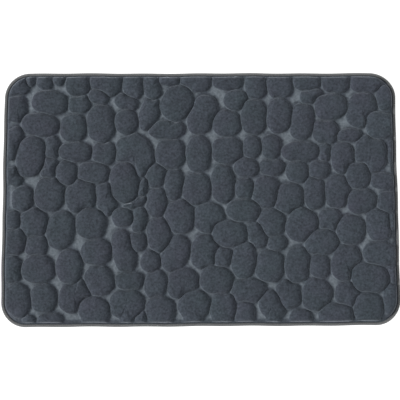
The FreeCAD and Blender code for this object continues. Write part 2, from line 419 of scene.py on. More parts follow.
# %% [markdown]
# ## Foam
#
# Slow foam is a pale, yellowish mass of tiny cells. It is hidden inside the mat, so it needs no more than a
# cell pattern for its skin and a faint mottle where the foam has aged. Voronoi cells are closest to the
# real bubbles.

# %% Foam
FOAM_COLOUR = (0.62, 0.58, 0.42)
CELL_BUMP = 0.5 * MM

FOAM, recipe, shader, place = new_finish("memory_foam", Roughness=0.85, Subsurface_Weight=0.15)
cells = recipe.add("ShaderNodeTexVoronoi", {"Vector": place, "Scale": 1100.0})
yellowed = recipe.group(YARN_MOTTLE, {"Place": place, "Scale": 22.0, "Low": 0.9, "High": 1.06})
recipe.wire(shader, {"Base Color": toned(recipe, FOAM_COLOUR, yellowed["Tone"])})
add_relief(recipe, shader, cells.outputs["Distance"], CELL_BUMP)

# %% [markdown]
# ## Knitted backing
#
# The backing is a thin knit: rows of loops with darker gaps between them. Modelled loops would be a million
# faces that nobody sees, so the rows are bumps and tones. They run along the mat's own axes, so Object
# coordinates are the right measure for them.

# %% Knitted backing
KNIT_COLOUR = (0.165, 0.175, 0.19)
KNIT_BUMP = 0.3 * MM

BACKING, recipe, shader, place = new_finish(
    "backing_knit", Roughness=0.8, Sheen_Weight=0.15, Sheen_Roughness=0.5
)
parts = recipe.add("ShaderNodeSeparateXYZ", {0: place}).outputs
knit = recipe.group(
    THREAD_ROWS, {"Along": parts["X"], "Across": parts["Y"], "Row Pitch": 1.1 * MM, "Stitch Pitch": 1.4 * MM}
)
dyed = recipe.group(YARN_MOTTLE, {"Place": place, "Scale": 90.0, "Low": 0.85, "High": 1.12})
in_gaps = recipe.math("MULTIPLY_ADD", knit["Gap"], -0.5, 1.1)
recipe.wire(shader, {"Base Color": toned(recipe, KNIT_COLOUR, dyed["Tone"], in_gaps)})
add_relief(recipe, shader, knit["Height"], KNIT_BUMP)

# %% [markdown]
# ## Rubber dots
#
# The dots are soft dark rubber, printed wet and cured. Fresh rubber is evenly dark, and dust from the floor
# dulls it in specks. So one mottle drives the tone, the roughness and a very fine bump together, as real
# dust does.

# %% Rubber dots
RUBBER_COLOUR = (0.045, 0.047, 0.05)
RUBBER_ROUGHNESS = 0.5
DUST_BUMP = 0.03 * MM

RUBBER, recipe, shader, place = new_finish("dot_rubber", Roughness=RUBBER_ROUGHNESS)
dust = recipe.group(YARN_MOTTLE, {"Place": place, "Scale": 500.0, "Low": 0.8, "High": 1.3})
recipe.wire(shader, {"Base Color": toned(recipe, RUBBER_COLOUR, dust["Tone"])})
recipe.wire(shader, {"Roughness": recipe.math("MULTIPLY", dust["Tone"], RUBBER_ROUGHNESS)})
add_relief(recipe, shader, dust["Tone"], DUST_BUMP)

# %% [markdown]
# ## Ribbed tape
#
# A binding tape is woven with ribs across its width. It is folded over the rim, where a pattern in straight
# coordinates would smear, so the ribs read two values that the tape's mesh carries: how far along the path
# a point lies, and how far round the section. A third value, from_seam, carries painted light and shade: the
# fold outside the seam is painted lighter, and the flap inside it, down in the gutter, is painted darker as
# the gutter's shade.

# %% Ribbed tape
TAPE_COLOUR = (0.060, 0.062, 0.063)
RIB_BUMP = 0.16 * MM
# Painted light and shade across the tape by distance from the seam: a darker flap inside, a lighter fold
# outside.
TAPE_SHADE_FROM = -1.0 * MM
TAPE_SHADE_TO = 1.6 * MM
PAINTED_FLAP_SHADE = 0.62
PAINTED_FOLD_LIGHT = 1.15

TAPE, recipe, shader, place = new_finish(
    "binding_tape", Roughness=0.65, Specular_IOR_Level=0.3, Sheen_Weight=0.15, Sheen_Roughness=0.4
)
ribs = recipe.group(
    THREAD_ROWS,
    {
        "Along": stored(recipe, "along"),
        "Across": stored(recipe, "across"),
        "Row Pitch": 0.7 * MM,
        "Stitch Pitch": 0.9 * MM,
    },
)
dyed = recipe.group(YARN_MOTTLE, {"Place": place, "Scale": 120.0, "Low": 0.88, "High": 1.12})
in_gaps = recipe.math("MULTIPLY_ADD", ribs["Gap"], -0.45, 1.1)
# Painted shade on the flap in the gutter and painted light on the fold.
painted_tape_shading = recipe.add(
    "ShaderNodeMapRange",
    {
        "Value": stored(recipe, "from_seam"),
        "From Min": TAPE_SHADE_FROM,
        "From Max": TAPE_SHADE_TO,
        "To Min": PAINTED_FLAP_SHADE,
        "To Max": PAINTED_FOLD_LIGHT,
    },
    interpolation_type="SMOOTHSTEP",
).outputs["Result"]
recipe.wire(shader, {"Base Color": toned(recipe, TAPE_COLOUR, dyed["Tone"], in_gaps, painted_tape_shading)})
add_relief(recipe, shader, ribs["Height"], RIB_BUMP)

# %% [markdown]
# ## Sewing thread
#
# Polyester thread is twisted from plies, which show as tiny light and dark flecks. A stitch is three
# millimetres long, so a twist modelled for each would never be seen, and a very fine mottle gives the same
# broken shine.

# %% Sewing thread
THREAD_COLOUR = (0.085, 0.09, 0.095)
PLY_BUMP = 0.05 * MM

SEWING_THREAD, recipe, shader, place = new_finish(
    "sewing_thread", Roughness=0.55, Sheen_Weight=0.2, Sheen_Roughness=0.4
)
ply = recipe.group(YARN_MOTTLE, {"Place": place, "Scale": 2400.0, "Low": 0.6, "High": 1.3})
recipe.wire(shader, {"Base Color": toned(recipe, THREAD_COLOUR, ply["Tone"])})
add_relief(recipe, shader, ply["Tone"], PLY_BUMP)

# %% [markdown]
# ## Satin label
#
# The label is a strip of white satin ribbon. Its threads are far finer than the backing's, and it is
# smoother, so the same rows with a small pitch, a shallow bump and a lower roughness are enough.

# %% Satin label
SATIN_COLOUR = (0.75, 0.75, 0.72)
SATIN_BUMP = 0.06 * MM

SATIN, recipe, shader, place = new_finish("label_satin", Roughness=0.4, Sheen_Weight=0.1)
parts = recipe.add("ShaderNodeSeparateXYZ", {0: place}).outputs
weave = recipe.group(
    THREAD_ROWS, {"Along": parts["Y"], "Across": parts["X"], "Row Pitch": 0.3 * MM, "Stitch Pitch": 0.8 * MM}
)
creamy = recipe.group(YARN_MOTTLE, {"Place": place, "Scale": 150.0, "Low": 0.93, "High": 1.03})
recipe.wire(shader, {"Base Color": toned(recipe, SATIN_COLOUR, creamy["Tone"])})
add_relief(recipe, shader, weave["Height"], SATIN_BUMP)

# %% [markdown]
# ## The stones
#
# The mould's stones are river pebbles laid close: each is a rounded, squarish oval, and where two meet they
# share a narrow crease. They could be scattered by chance, but a mould maker lays them by eye, so each stone
# here is six chosen numbers. Its outline isn't drawn. It is where the stone's own oval ends or where a
# neighbour's claim is stronger, whichever comes first, as with soft things that are pressed together. A
# whole stone seems to lie on top: it keeps its oval, and its neighbours are cut round it.

# %% Table of stones
# Each row of the mat from back to front, left to right, in millimetres: a stone's middle (x, y), its length
# and width along its own axes, its turn in degrees, and 1 if it keeps its whole oval where it meets others.
STONES = np.array([
    # along the back edge, left to right
    (-323, 199, 40, 28, 20, 0), (-304, 210, 16, 22, 20, 0), (-278, 208, 28, 28, 0, 0),
    (-253, 214, 22, 26, -15, 0), (-220, 201, 42, 40, 0, 0), (-169, 205, 55, 47, 0, 0),
    (-121, 199, 35, 46, 6, 0), (-87, 197, 30, 40, 14, 1), (-58, 213, 42, 24, -10, 0),
    (-9, 208, 54, 38, 0, 0), (48, 209, 55, 32, 0, 0), (98, 198, 38, 44, 0, 0), (141, 200, 46, 44, 4, 0),
    (190, 207, 48, 32, 4, 0), (242, 205, 51, 34, 0, 0), (297, 205, 60, 34, 8, 0), (328, 179, 27, 46, 0, 0),
    # second row
    (-326, 160, 34, 50, 0, 0), (-269, 171, 64, 43, -8, 1), (-217, 168, 39, 34, 0, 0),
    (-182, 182, 37, 30, -30, 0), (-133, 172, 42, 28, -22, 0), (-92, 151, 34, 64, -14, 0),
    (-43, 170, 56, 64, -24, 1), (3, 148, 48, 74, -22, 0), (62, 175, 42, 38, 0, 0), (95, 144, 46, 64, -4, 1),
    (139, 147, 45, 64, -4, 1), (180, 136, 43, 67, -5, 0), (198, 182, 43, 28, 8, 0),
    (232, 163, 58, 47, 8, 1), (287, 157, 52, 68, -16, 0),
    # third row
    (-330, 98, 28, 62, -8, 0), (-285, 131, 66, 42, -6, 1), (-226, 125, 47, 51, 0, 0),
    (-177, 133, 50, 68, 0, 1), (-133, 136, 42, 44, 0, 1), (-61, 122, 66, 33, 0, 0), (46, 133, 52, 48, 0, 0),
    (222, 118, 46, 44, -6, 0), (265, 111, 45, 24, 4, 0), (319, 129, 48, 49, -6, 1),
    # fourth row
    (-301, 74, 49, 74, -8, 1), (-263, 90, 26, 42, 0, 0), (-222, 82, 58, 35, -4, 1),
    (-171, 80, 44, 41, -6, 0), (-117, 76, 66, 80, 24, 0), (-54, 79, 52, 56, 4, 0), (-4, 78, 44, 66, 0, 1),
    (47, 84, 55, 50, 0, 0), (91, 90, 32, 41, 0, 1), (125, 91, 35, 44, 0, 0), (177, 82, 67, 36, 0, 1),
    (220, 81, 20, 34, 0, 0), (252, 71, 41, 58, 4, 0), (303, 78, 56, 68, 8, 0), (338, 82, 9, 42, 0, 0),
    # fifth row
    (-328, 40, 30, 34, 0, 0), (-268, 54, 28, 40, -16, 0), (-237, 46, 36, 43, 0, 1),
    (-190, 45, 57, 37, -4, 0), (-136, 28, 49, 72, 6, 1), (-103, 18, 15, 34, -16, 0),
    (-80, 40, 33, 44, -14, 0), (-48, 26, 32, 58, -4, 0), (81, 53, 43, 34, 0, 1), (126, 54, 46, 29, 0, 0),
    (171, 46, 39, 40, -10, 1), (210, 50, 38, 31, 0, 1), (279, 38, 41, 46, 0, 1), (321, 29, 42, 30, 0, 0),
    # sixth row
    (-315, 0, 38, 45, -6, 0), (-268, 7, 53, 62, -4, 0), (-213, 3, 54, 60, -4, 0), (-168, -2, 34, 60, 12, 0),
    (-118, -9, 44, 17, 22, 0), (-79, -8, 35, 53, -4, 0), (-8, 16, 51, 58, -6, 0), (38, 25, 41, 70, 0, 0),
    (76, 16, 32, 41, 0, 0), (115, 10, 48, 57, -8, 0), (155, -1, 51, 55, -22, 0), (200, 8, 37, 60, 0, 0),
    (241, 11, 44, 60, -6, 0), (283, -7, 53, 45, 10, 0), (328, -8, 32, 38, 0, 0),
    # seventh row
    (-330, -37, 24, 32, 0, 0), (-294, -43, 48, 52, 14, 0), (-247, -56, 50, 68, -12, 0),
    (-194, -46, 53, 54, -10, 1), (-139, -34, 36, 33, 0, 1), (-109, -39, 25, 47, -8, 0),
    (-37, -33, 52, 60, 14, 0), (13, -36, 54, 54, -24, 0), (74, -23, 59, 40, -6, 1),
    (124, -44, 48, 49, 18, 0), (177, -49, 54, 60, -24, 1), (228, -39, 42, 39, 0, 0),
    (264, -58, 49, 52, -20, 1), (313, -49, 45, 60, 4, 0), (338, -43, 11, 34, 0, 0),
    # eighth row
    (-325, -76, 34, 47, -6, 0), (-289, -84, 39, 39, -14, 0), (-184, -95, 54, 46, 0, 1),
    (-136, -94, 40, 78, 14, 0), (-112, -77, 30, 34, 18, 0), (-74, -65, 43, 62, 6, 0),
    (-45, -98, 46, 66, -22, 0), (5, -95, 46, 63, -8, 0), (50, -64, 60, 46, -4, 1), (98, -67, 33, 46, 24, 0),
    (133, -80, 35, 26, 0, 0), (211, -79, 60, 44, 4, 1), (314, -100, 59, 42, -6, 1),
    # ninth row
    (-329, -124, 31, 47, 0, 0), (-285, -125, 57, 49, 4, 1), (-231, -120, 46, 60, 0, 1),
    (-179, -145, 52, 52, 24, 0), (-126, -145, 51, 32, 0, 0), (-89, -112, 34, 39, 0, 0),
    (-80, -152, 39, 52, -12, 0), (-33, -151, 54, 57, -20, 0), (39, -105, 32, 36, -12, 0),
    (75, -111, 42, 63, -6, 1), (120, -121, 50, 56, -10, 0), (169, -118, 44, 63, -4, 1),
    (208, -121, 36, 42, 0, 1), (254, -115, 50, 66, -16, 0), (296, -142, 66, 51, -4, 1),
    (337, -136, 13, 32, 8, 0),
    # along the front edge
    (-319, -178, 41, 60, 6, 1), (-275, -175, 45, 51, 8, 1), (-222, -171, 52, 62, -32, 0),
    (-187, -197, 54, 46, -10, 1), (-131, -186, 62, 50, 0, 0), (-72, -196, 51, 46, 0, 1),
    (-13, -189, 56, 50, 24, 1), (26, -145, 58, 48, -8, 1), (37, -194, 44, 54, -8, 1),
    (82, -163, 64, 42, 0, 0), (76, -202, 34, 38, -8, 0), (123, -189, 44, 52, 28, 0),
    (152, -170, 44, 51, 14, 0), (201, -171, 52, 58, -14, 0), (256, -170, 46, 42, -20, 0),
    (292, -194, 51, 52, -8, 1), (330, -180, 24, 56, 0, 0), (234, -204, 62, 37, 0, 0),
    (173, -209, 40, 26, 0, 0), (-264, -211, 44, 20, 0, 0), (-103, -211, 24, 22, 30, 0),
    (-301, -212, 22, 16, 0, 0),
])

# %% Stone outlines
OVAL_POWER = 2.35
SWELL = 1.3 * MM
CREASE = 1.2 * MM
CREASE_LEFT = 0.3
SOFTENINGS = 6
CUT_INSET = 14 * MM
FARTHEST = 60 * MM
PACE = 1 * MM
PACE_HALVINGS = 10
SPOKES = 180
RIVALS = 4
# A waver is a short wave's length, the length of a long one that bends it, and by how much.
WAVER = 0.7 * MM
WAVER_IN_X = (5.3 * MM, 13 * MM, 1.4)
WAVER_IN_Y = (4.7 * MM, 11 * MM, 1.7)

MIDDLES = STONES[:, 0:2] * MM
HALVES = STONES[:, 2:4] * MM / 2 + SWELL
TURNS = np.radians(STONES[:, 4])
WHOLE = STONES[:, 5]
spoke_angles = np.arange(SPOKES) * math.tau / SPOKES
spokes = np.stack([np.cos(spoke_angles), np.sin(spoke_angles)], axis=1)


def wandering(along, across, short, long, bend):
    """A short wave along one direction, bent by a long wave across it."""
    return np.sin(along / short + bend * np.sin(across / long))


def wavered(x, y):
    """Plan points shifted by under a millimetre, so that no stone is a perfect oval."""
    return x + WAVER * wandering(y, x, *WAVER_IN_X), y + WAVER * wandering(x, y, *WAVER_IN_Y)


def fullness(stone, x, y):
    """0 in a stone's middle and 1 on its oval, for one stone or one stone per point."""
    x, y = wavered(x, y)
    x = np.clip(x, CUT_INSET - HALF_LENGTH, HALF_LENGTH - CUT_INSET)
    y = np.clip(y, CUT_INSET - HALF_WIDTH, HALF_WIDTH - CUT_INSET)
    along = np.cos(TURNS[stone]) * (x - MIDDLES[stone, 0]) + np.sin(TURNS[stone]) * (y - MIDDLES[stone, 1])
    across = np.cos(TURNS[stone]) * (y - MIDDLES[stone, 1]) - np.sin(TURNS[stone]) * (x - MIDDLES[stone, 0])
    long_share = np.abs(along / HALVES[stone, 0]) ** OVAL_POWER
    wide_share = np.abs(across / HALVES[stone, 1]) ** OVAL_POWER
    return (long_share + wide_share) ** (1 / OVAL_POWER)


def claim(stone, x, y):
    """A stone's claim to plan points. The lowest claim wins, and a whole stone's oval beats all others."""
    filled = fullness(stone, x, y)
    return filled - WHOLE[stone] * (filled < 1)


def softened(numbers):
    """Numbers round a loop, each drawn towards its neighbours a few times."""
    for _ in range(SOFTENINGS):
        numbers = (np.roll(numbers, 1) + 2 * numbers + np.roll(numbers, -1)) / 4
    return numbers


def is_own(stone, others, distance):
    """Whether the points at a distance along a stone's spokes are the stone's and not another's."""
    x = MIDDLES[stone, 0] + spokes[:, 0] * distance
    y = MIDDLES[stone, 1] + spokes[:, 1] * distance
    rival = np.min([claim(other, x, y) for other in others], axis=0)
    return (claim(stone, x, y) < rival) & (fullness(stone, x, y) < 1)


def close_by(stone, other):
    """Whether two stones could touch."""
    apart = np.hypot(*(MIDDLES[stone] - MIDDLES[other]))
    return apart < HALVES[stone].max() + HALVES[other].max() + 2 * CREASE


def reach_of(stone):
    """How far a stone goes from its middle along each spoke before its oval or a crease ends it."""
    others = [other for other in range(len(STONES)) if other != stone and close_by(stone, other)]
    paces = np.arange(PACE, FARTHEST, PACE)
    lost = ~is_own(stone, others, paces[:, None])
    outside = np.where(lost.any(axis=0), paces[lost.argmax(axis=0)], FARTHEST)
    inside = outside - PACE
    for _ in range(PACE_HALVINGS):
        tried = (inside + outside) / 2
        own = is_own(stone, others, tried)
        inside = np.where(own, tried, inside)
        outside = np.where(own, outside, tried)
    return np.minimum(softened(inside - CREASE / 2), inside - CREASE_LEFT * CREASE)


def slant_of(reach):
    """The cosine between each spoke and the square way out through the outline."""
    slope = (np.roll(reach, -1) - np.roll(reach, 1)) / (2 * math.tau / SPOKES) / reach
    return 1 / np.sqrt(1 + slope**2)


REACH = np.array([reach_of(stone) for stone in range(len(STONES))])
SLANT = np.array([slant_of(reach) for reach in REACH])
print("stones:", len(STONES), "whole:", int(WHOLE.sum()), "shortest reach in mm:", round(REACH.min() / MM, 1))

# %% [markdown]
# ## Relief of the pressed face
#
# A pebble's top is almost flat. Its rim drops off like the edge of a cushion, first gently and then
# steeply, down to ground that the mould squeezed to little over half the height. The whole face then sinks
# into a gutter by the tape. Cloth pushed out by air would bulge all over, and these are pressed by heat, so
# their height is one formula, and every layer and every mesh agrees about it.
#
# The same walk over the mat says where the pile was pressed flat. Wide ground is crushed, and a narrow
# crease hardly is. Light and shade are painted into the same value: a thin painted highlight along the rims
# that face the light, and painted shadow on the ground just past each stone's shaded side, where the
# lighter crushed colour is left out.

# %% Relief sizes
GROUND = 8.0 * MM
STONE_RISE = 6.2 * MM
RIM_WIDTH = 15 * MM
RIM_POWER = 2.0
FOOT = 3.0 * MM
FOOT_SHARE = 0.3
TOP_CROWN = 0.3 * MM
TOP_TILT = 0.35 * MM
GUTTER = 7.0 * MM
SHOULDER = 7.0 * MM
SHOULDER_POWER = 2
# Unevenness is a height, the width of its hollows and a seed.
UNEVEN_TOPS = (0.25 * MM, 14 * MM, 3.0)
UNEVEN_GROUND = (0.35 * MM, 9 * MM, 8.0)

dice = np.random.default_rng(5)
STONE_LEVEL = dice.uniform(0.95, 1.03, len(STONES))
STONE_TILT = dice.uniform(-TOP_TILT, TOP_TILT, (len(STONES), 2))
STONE_TONE = dice.uniform(0.95, 1.05, len(STONES))
rises = STONE_RISE * np.array([STONE_LEVEL.min(), STONE_LEVEL.max()])
print("stones rise in mm:", np.round(rises / MM, 1))

# %% Pressing sizes
# Each pair is where an effect begins and where it is complete. Sides are the cosine of the angle between a
# rim's direction and the lit side's, which the painted highlight and painted shadow follow.
CREASE_PRESS = 0.25
WIDE_GAP = (3.0 * MM, 8.0 * MM)
GROUND_ENDS = (-0.4 * MM, 1.2 * MM)
# The direction of the lit side, along which the painted highlight and painted shadow are laid.
LIT_SIDE_TOWARDS = math.radians(208)
# Strength of the painted highlight along the rims that face the light.
PAINTED_HIGHLIGHT_STRENGTH = 0.55
LIT_SIDE = (0.1, 0.8)
LINE_BEGINS = (-1.2 * MM, -0.3 * MM)
LINE_ENDS = (0.3 * MM, 1.2 * MM)
# Strength of the painted shadow on the ground beside each stone's shaded side.
PAINTED_SHADOW_STRENGTH = 0.95
SHADED_SIDE = (-0.3, 0.5)
PAINTED_SHADOW_REACH = (2.2 * MM, 6.0 * MM)
TAPE_SPARES = (10 * MM, 16 * MM)
# A painted sheen: the pile is painted lighter towards each stone's rim.
PAINTED_RIM_SHEEN = 0.03
PAINTED_RIM_SHEEN_WIDTH = 5 * MM
# The printed angle is the direction of the lit side.
print("the nap leans towards", round(math.degrees(LIT_SIDE_TOWARDS)), "degrees")


# %% Relief
def depth_in(stone, x, y):
    """How far inside a stone's outline each point lies, and below zero outside. One stone per point."""
    offset_x = x - MIDDLES[stone, 0]
    offset_y = y - MIDDLES[stone, 1]
    turn = np.arctan2(offset_y, offset_x) / math.tau % 1 * SPOKES
    spoke = turn.astype(int) % SPOKES
    share = turn - np.floor(turn)
    following = (spoke + 1) % SPOKES
    reach = REACH[stone, spoke] * (1 - share) + REACH[stone, following] * share
    slant = SLANT[stone, spoke] * (1 - share) + SLANT[stone, following] * share
    return (reach - np.hypot(offset_x, offset_y)) * slant


def nearest_stones(x, y):
    """The stone that each point belongs to, how deep in it the point is, and how deep in the next one."""
    filled = np.stack([fullness(stone, x, y) for stone in range(len(STONES))], axis=1)
    nearest = np.argsort(filled, axis=1)[:, :RIVALS]
    depths = np.stack([depth_in(nearest[:, rank], x, y) for rank in range(RIVALS)], axis=1)
    order = np.argsort(-depths, axis=1)
    ranked = np.take_along_axis(depths, order, axis=1)
    owner = np.take_along_axis(nearest, order, axis=1)[:, 0]
    return owner, ranked[:, 0], ranked[:, 1]


def ease(numbers, low, high):
    """0 up to low, 1 from high, and a smooth step between."""
    share = np.clip((numbers - low) / (high - low), 0, 1)
    return share * share * (3 - 2 * share)


def bulge(share, power):
    """A quarter circle at power 2 and squarer above it: steep at 0, level at 1."""
    return (1 - (1 - np.clip(share, 0, 1)) ** power) ** (1 / power)


def unevenness(x, y, height, size, seed):
    """Soft waves up to a height either way, with hollows about a size across."""
    return height * np.array([noise.noise((a / size, b / size, seed)) for a, b in zip(x, y)])


def rim_share(depth):
    """0 outside a stone, rising over its rim to 1 on its top."""
    foot = 1 - FOOT_SHARE * (1 - ease(depth, 0, FOOT))
    return bulge(depth / RIM_WIDTH, RIM_POWER) * foot


def height_at(x, y, owner, depth):
    """How high the fleece's face stands at plan points."""
    offset_x = (x - MIDDLES[owner, 0]) / HALVES[owner, 0]
    offset_y = (y - MIDDLES[owner, 1]) / HALVES[owner, 1]
    top = STONE_RISE * STONE_LEVEL[owner] + TOP_CROWN * (1 - np.clip(fullness(owner, x, y), 0, 1) ** 2)
    top += STONE_TILT[owner, 0] * offset_x + STONE_TILT[owner, 1] * offset_y
    top += unevenness(x, y, *UNEVEN_TOPS)
    ground = GROUND + unevenness(x, y, *UNEVEN_GROUND)
    full = ground + top * rim_share(depth)
    sunk = bulge((inset_of(x, y) - GUTTER) / SHOULDER, SHOULDER_POWER)
    return LIP_TOP + (full - LIP_TOP) * sunk


def crush_and_painted_light_at(x, y, owner, depth, gap):
    """How much crushed colour the pile shows at plan points, from 0 to 1, with a painted highlight and
    painted shadow.
    """
    facing = np.cos(np.arctan2(y - MIDDLES[owner, 1], x - MIDDLES[owner, 0]) - LIT_SIDE_TOWARDS)
    open_ground = CREASE_PRESS + (1 - CREASE_PRESS) * ease(gap, *WIDE_GAP)
    # Painted shadow: the lighter crushed colour is left out on the ground just past each stone's shaded side.
    painted_shadow = (1 - ease(facing, *SHADED_SIDE)) * (1 - ease(-depth, *PAINTED_SHADOW_REACH))
    crushed_less_painted_shadow = open_ground * (1 - ease(depth, *GROUND_ENDS)) * (1 - PAINTED_SHADOW_STRENGTH * painted_shadow)
    # Painted highlight: a thin lighter line along the rims that face the light.
    along_rim = ease(depth, *LINE_BEGINS) * (1 - ease(depth, *LINE_ENDS))
    painted_highlight = PAINTED_HIGHLIGHT_STRENGTH * ease(facing, *LIT_SIDE) * along_rim
    return np.maximum(crushed_less_painted_shadow, painted_highlight) * ease(inset_of(x, y), *TAPE_SPARES)


def relief(x, y):
    """The height of the fleece's face, its crushed colour with painted light and shade, and its tone, at plan
    points.
    """
    owner, depth, next_depth = nearest_stones(x, y)
    height = height_at(x, y, owner, depth)
    crush_and_painted_light = crush_and_painted_light_at(x, y, owner, depth, -depth - next_depth)
    # Painted sheen, lighter towards the rim, on top of each stone's own tone.
    painted_rim_sheen = PAINTED_RIM_SHEEN * (1 - ease(depth, 0, PAINTED_RIM_SHEEN_WIDTH))
    tone = 1 + (STONE_TONE[owner] - 1) * rim_share(depth) + painted_rim_sheen
    return height, crush_and_painted_light, tone


# %% [markdown]
# ## A net of faces that follows the stones
#
# An even grid would need faces a millimetre wide to catch a rim, and most of them would be wasted on flat
# tops. So the net is laid like the stones: rings inside each stone, close together at the rim and wide on
# the top, and a triangulated ground that fills what is left. Fewer faces, and every rim is smooth.

# %% Net helpers
STONE_EDGE_INSET = 8.2 * MM
OUTER_STEP = 4.0 * MM
RING_HALVINGS = 22
FEWEST_CORNERS = 12
MOST_CORNERS = 64
ROOM_SHARE = 0.72
JITTER = 0.18
WELD = 1e-7


def band(outer, inner):
    """Four-sided faces between two loops of the same length."""
    return list(zip(outer, outer[1:] + outer[:1], inner[1:] + inner[:1], inner))


def shifted(outline, skip):
    """A loop of point numbers, for points that come after a number of others."""
    return [index + skip for index in outline]


def turned_over(faces, skip=0):
    """The same faces seen from below, for points that come after a number of others."""
    return [tuple(index + skip for index in reversed(face)) for face in faces]


def at_height(plan, height):
    """Plan points raised to one height, or each to its own."""
    return np.column_stack([plan, np.broadcast_to(height, len(plan))])


def stone_ring(stone, step):
    """A loop of plan points along a stone's outline, cut off near the tape: its spokes, reach and slant."""
    x, y = MIDDLES[stone]
    inside = np.zeros(SPOKES)
    outside = REACH[stone].copy()
    for _ in range(RING_HALVINGS):
        tried = (inside + outside) / 2
        clear = inset_of(x + spokes[:, 0] * tried, y + spokes[:, 1] * tried) > STONE_EDGE_INSET
        inside = np.where(clear, tried, inside)
        outside = np.where(clear, outside, tried)
    edge = np.column_stack([spokes[:, 0] * outside, spokes[:, 1] * outside])
    pace = np.hypot(*(np.roll(edge, -1, axis=0) - edge).T)
    gone = np.concatenate([[0], np.cumsum(pace)])
    count = int(np.clip(round(gone[-1] / step), FEWEST_CORNERS, MOST_CORNERS))
    stops = np.interp(np.arange(count) * gone[-1] / count, gone, np.arange(SPOKES + 1))
    slants = slant_of(outside)
    reach = np.interp(stops, np.arange(SPOKES + 1), np.append(outside, outside[0]))
    slant = np.interp(stops, np.arange(SPOKES + 1), np.append(slants, slants[0]))
    return stops * math.tau / SPOKES, reach, slant


def ring_reach(reach, slant, offset, last_offset):
    """How far out a ring lies that is an offset inside the outline, where the stone has room for it."""
    room = ROOM_SHARE * offset / last_offset
    return reach * (1 - np.minimum(offset / slant / reach, room))


def ground_spots(spacing):
    """Jittered plan points in open ground, clear of the stones and of the tape's gutter."""
    row_gap = spacing * math.sqrt(3) / 2
    across = np.arange(-HALF_LENGTH, HALF_LENGTH, spacing)
    up = np.arange(-HALF_WIDTH, HALF_WIDTH, row_gap)
    x, y = (grid.ravel() for grid in np.meshgrid(across, up))
    x = x + spacing / 2 * (np.round(y / row_gap) % 2)
    shift = np.random.default_rng(11).uniform(-JITTER, JITTER, (2, len(x))) * spacing
    x, y = x + shift[0], y + shift[1]
    keep = inset_of(x, y) > STONE_EDGE_INSET + spacing / 4
    x, y = x[keep], y[keep]
    depth = nearest_stones(x, y)[1]
    keep = depth < -spacing / 3
    return np.column_stack([x[keep], y[keep]])


def lay_ground(loops, rims, loose):
    """Triangles between the outermost loop and the stones: points, faces and where each loop's points are."""
    starts = np.cumsum([0] + [len(loop) for loop in loops])
    outlines = [list(range(starts[i], starts[i + 1])) for i in range(len(loops))]
    edges = [pair for outline in outlines for pair in zip(outline, outline[1:] + outline[:1])]
    areas = outlines[:1] + outlines[rims:]
    plan = [Vector(point) for point in np.concatenate(loops + [loose])]
    spots, _, triangles, origins, _, sources = geometry.delaunay_2d_cdt(plan, edges, areas, 0, WELD)
    place_of = {old: new for new, olds in enumerate(origins) for old in olds}
    faces = [tuple(face) for face, source in zip(triangles, sources) if list(source) == [0]]
    placed = [[place_of[index] for index in outline] for outline in outlines]
    return [tuple(spot) for spot in spots], faces, placed


def fill_stone(points, faces, stone, ring, outline, offsets, inner_shares):
    """Adds a stone's inner rings and its middle to the points and faces."""
    angle, reach, slant = ring
    scales = [ring_reach(reach, slant, offset, offsets[-1]) for offset in offsets]
    scales += [scales[-1] * share for share in inner_shares]
    before = outline
    for scale in scales:
        inner = list(range(len(points), len(points) + len(angle)))
        x = MIDDLES[stone, 0] + np.cos(angle) * scale
        y = MIDDLES[stone, 1] + np.sin(angle) * scale
        points += list(zip(x, y))
        faces += band(before, inner)
        before = inner
    points.append(tuple(MIDDLES[stone]))
    faces += [(a, b, len(points) - 1) for a, b in zip(before, before[1:] + before[:1])]


def lay_net(step, offsets, inner_shares, ground_spacing, insets):
    """Plan points and counter-clockwise faces over the whole mat, and its outermost loop."""
    loops = [round_the_mat(inset, OUTER_STEP) for inset in insets]
    rings = [stone_ring(stone, step) for stone in range(len(STONES))]
    for stone, (angle, reach, _) in enumerate(rings):
        loops.append(MIDDLES[stone] + np.column_stack([np.cos(angle) * reach, np.sin(angle) * reach]))
    points, faces, outlines = lay_ground(loops, len(insets), ground_spots(ground_spacing))
    for stone, ring in enumerate(rings):
        outline = outlines[len(insets) + stone]
        fill_stone(points, faces, stone, ring, outline, offsets, inner_shares)
    return np.array(points), faces, outlines[0]


# %% [markdown]
# ## Fleece cover
#
# The fleece is a closed skin two millimetres thick: its face carries the relief, and its back follows at
# that distance with fewer faces, since nobody sees it. Both nets share the same outermost loop, which is
# where they are joined, under the tape.

# %% Fleece cover
FLEECE_THICKNESS = 1.9 * MM
LIP_THICKNESS = LIP_TOP - fleece_low[2]
FACE_STEP = 3.0 * MM
FACE_GROUND_STEP = 4.2 * MM
FACE_INSETS = [LIP_INSET, 4.2 * MM, 5.6 * MM, GUTTER, 7.5 * MM]
FACE_OFFSETS = [0.5 * MM, 1.3 * MM, 2.5 * MM, 4.2 * MM, 6.6 * MM, 10.0 * MM]
FACE_INNER_SHARES = [0.6]
BACK_STEP = 6.0 * MM
BACK_GROUND_STEP = 9.0 * MM
BACK_INSETS = [LIP_INSET, GUTTER]
BACK_OFFSETS = [1.4 * MM, 6.0 * MM]

face_plan, face_faces, face_rim = lay_net(
    FACE_STEP, FACE_OFFSETS, FACE_INNER_SHARES, FACE_GROUND_STEP, FACE_INSETS
)
back_plan, back_faces, back_rim = lay_net(BACK_STEP, BACK_OFFSETS, [], BACK_GROUND_STEP, BACK_INSETS)

face_height, crush_and_painted_light, tone = relief(*face_plan.T)
back_height = relief(*back_plan.T)[0]
sinking = ease(back_height, LIP_TOP, GROUND)
back_height -= LIP_THICKNESS + (FLEECE_THICKNESS - LIP_THICKNESS) * sinking

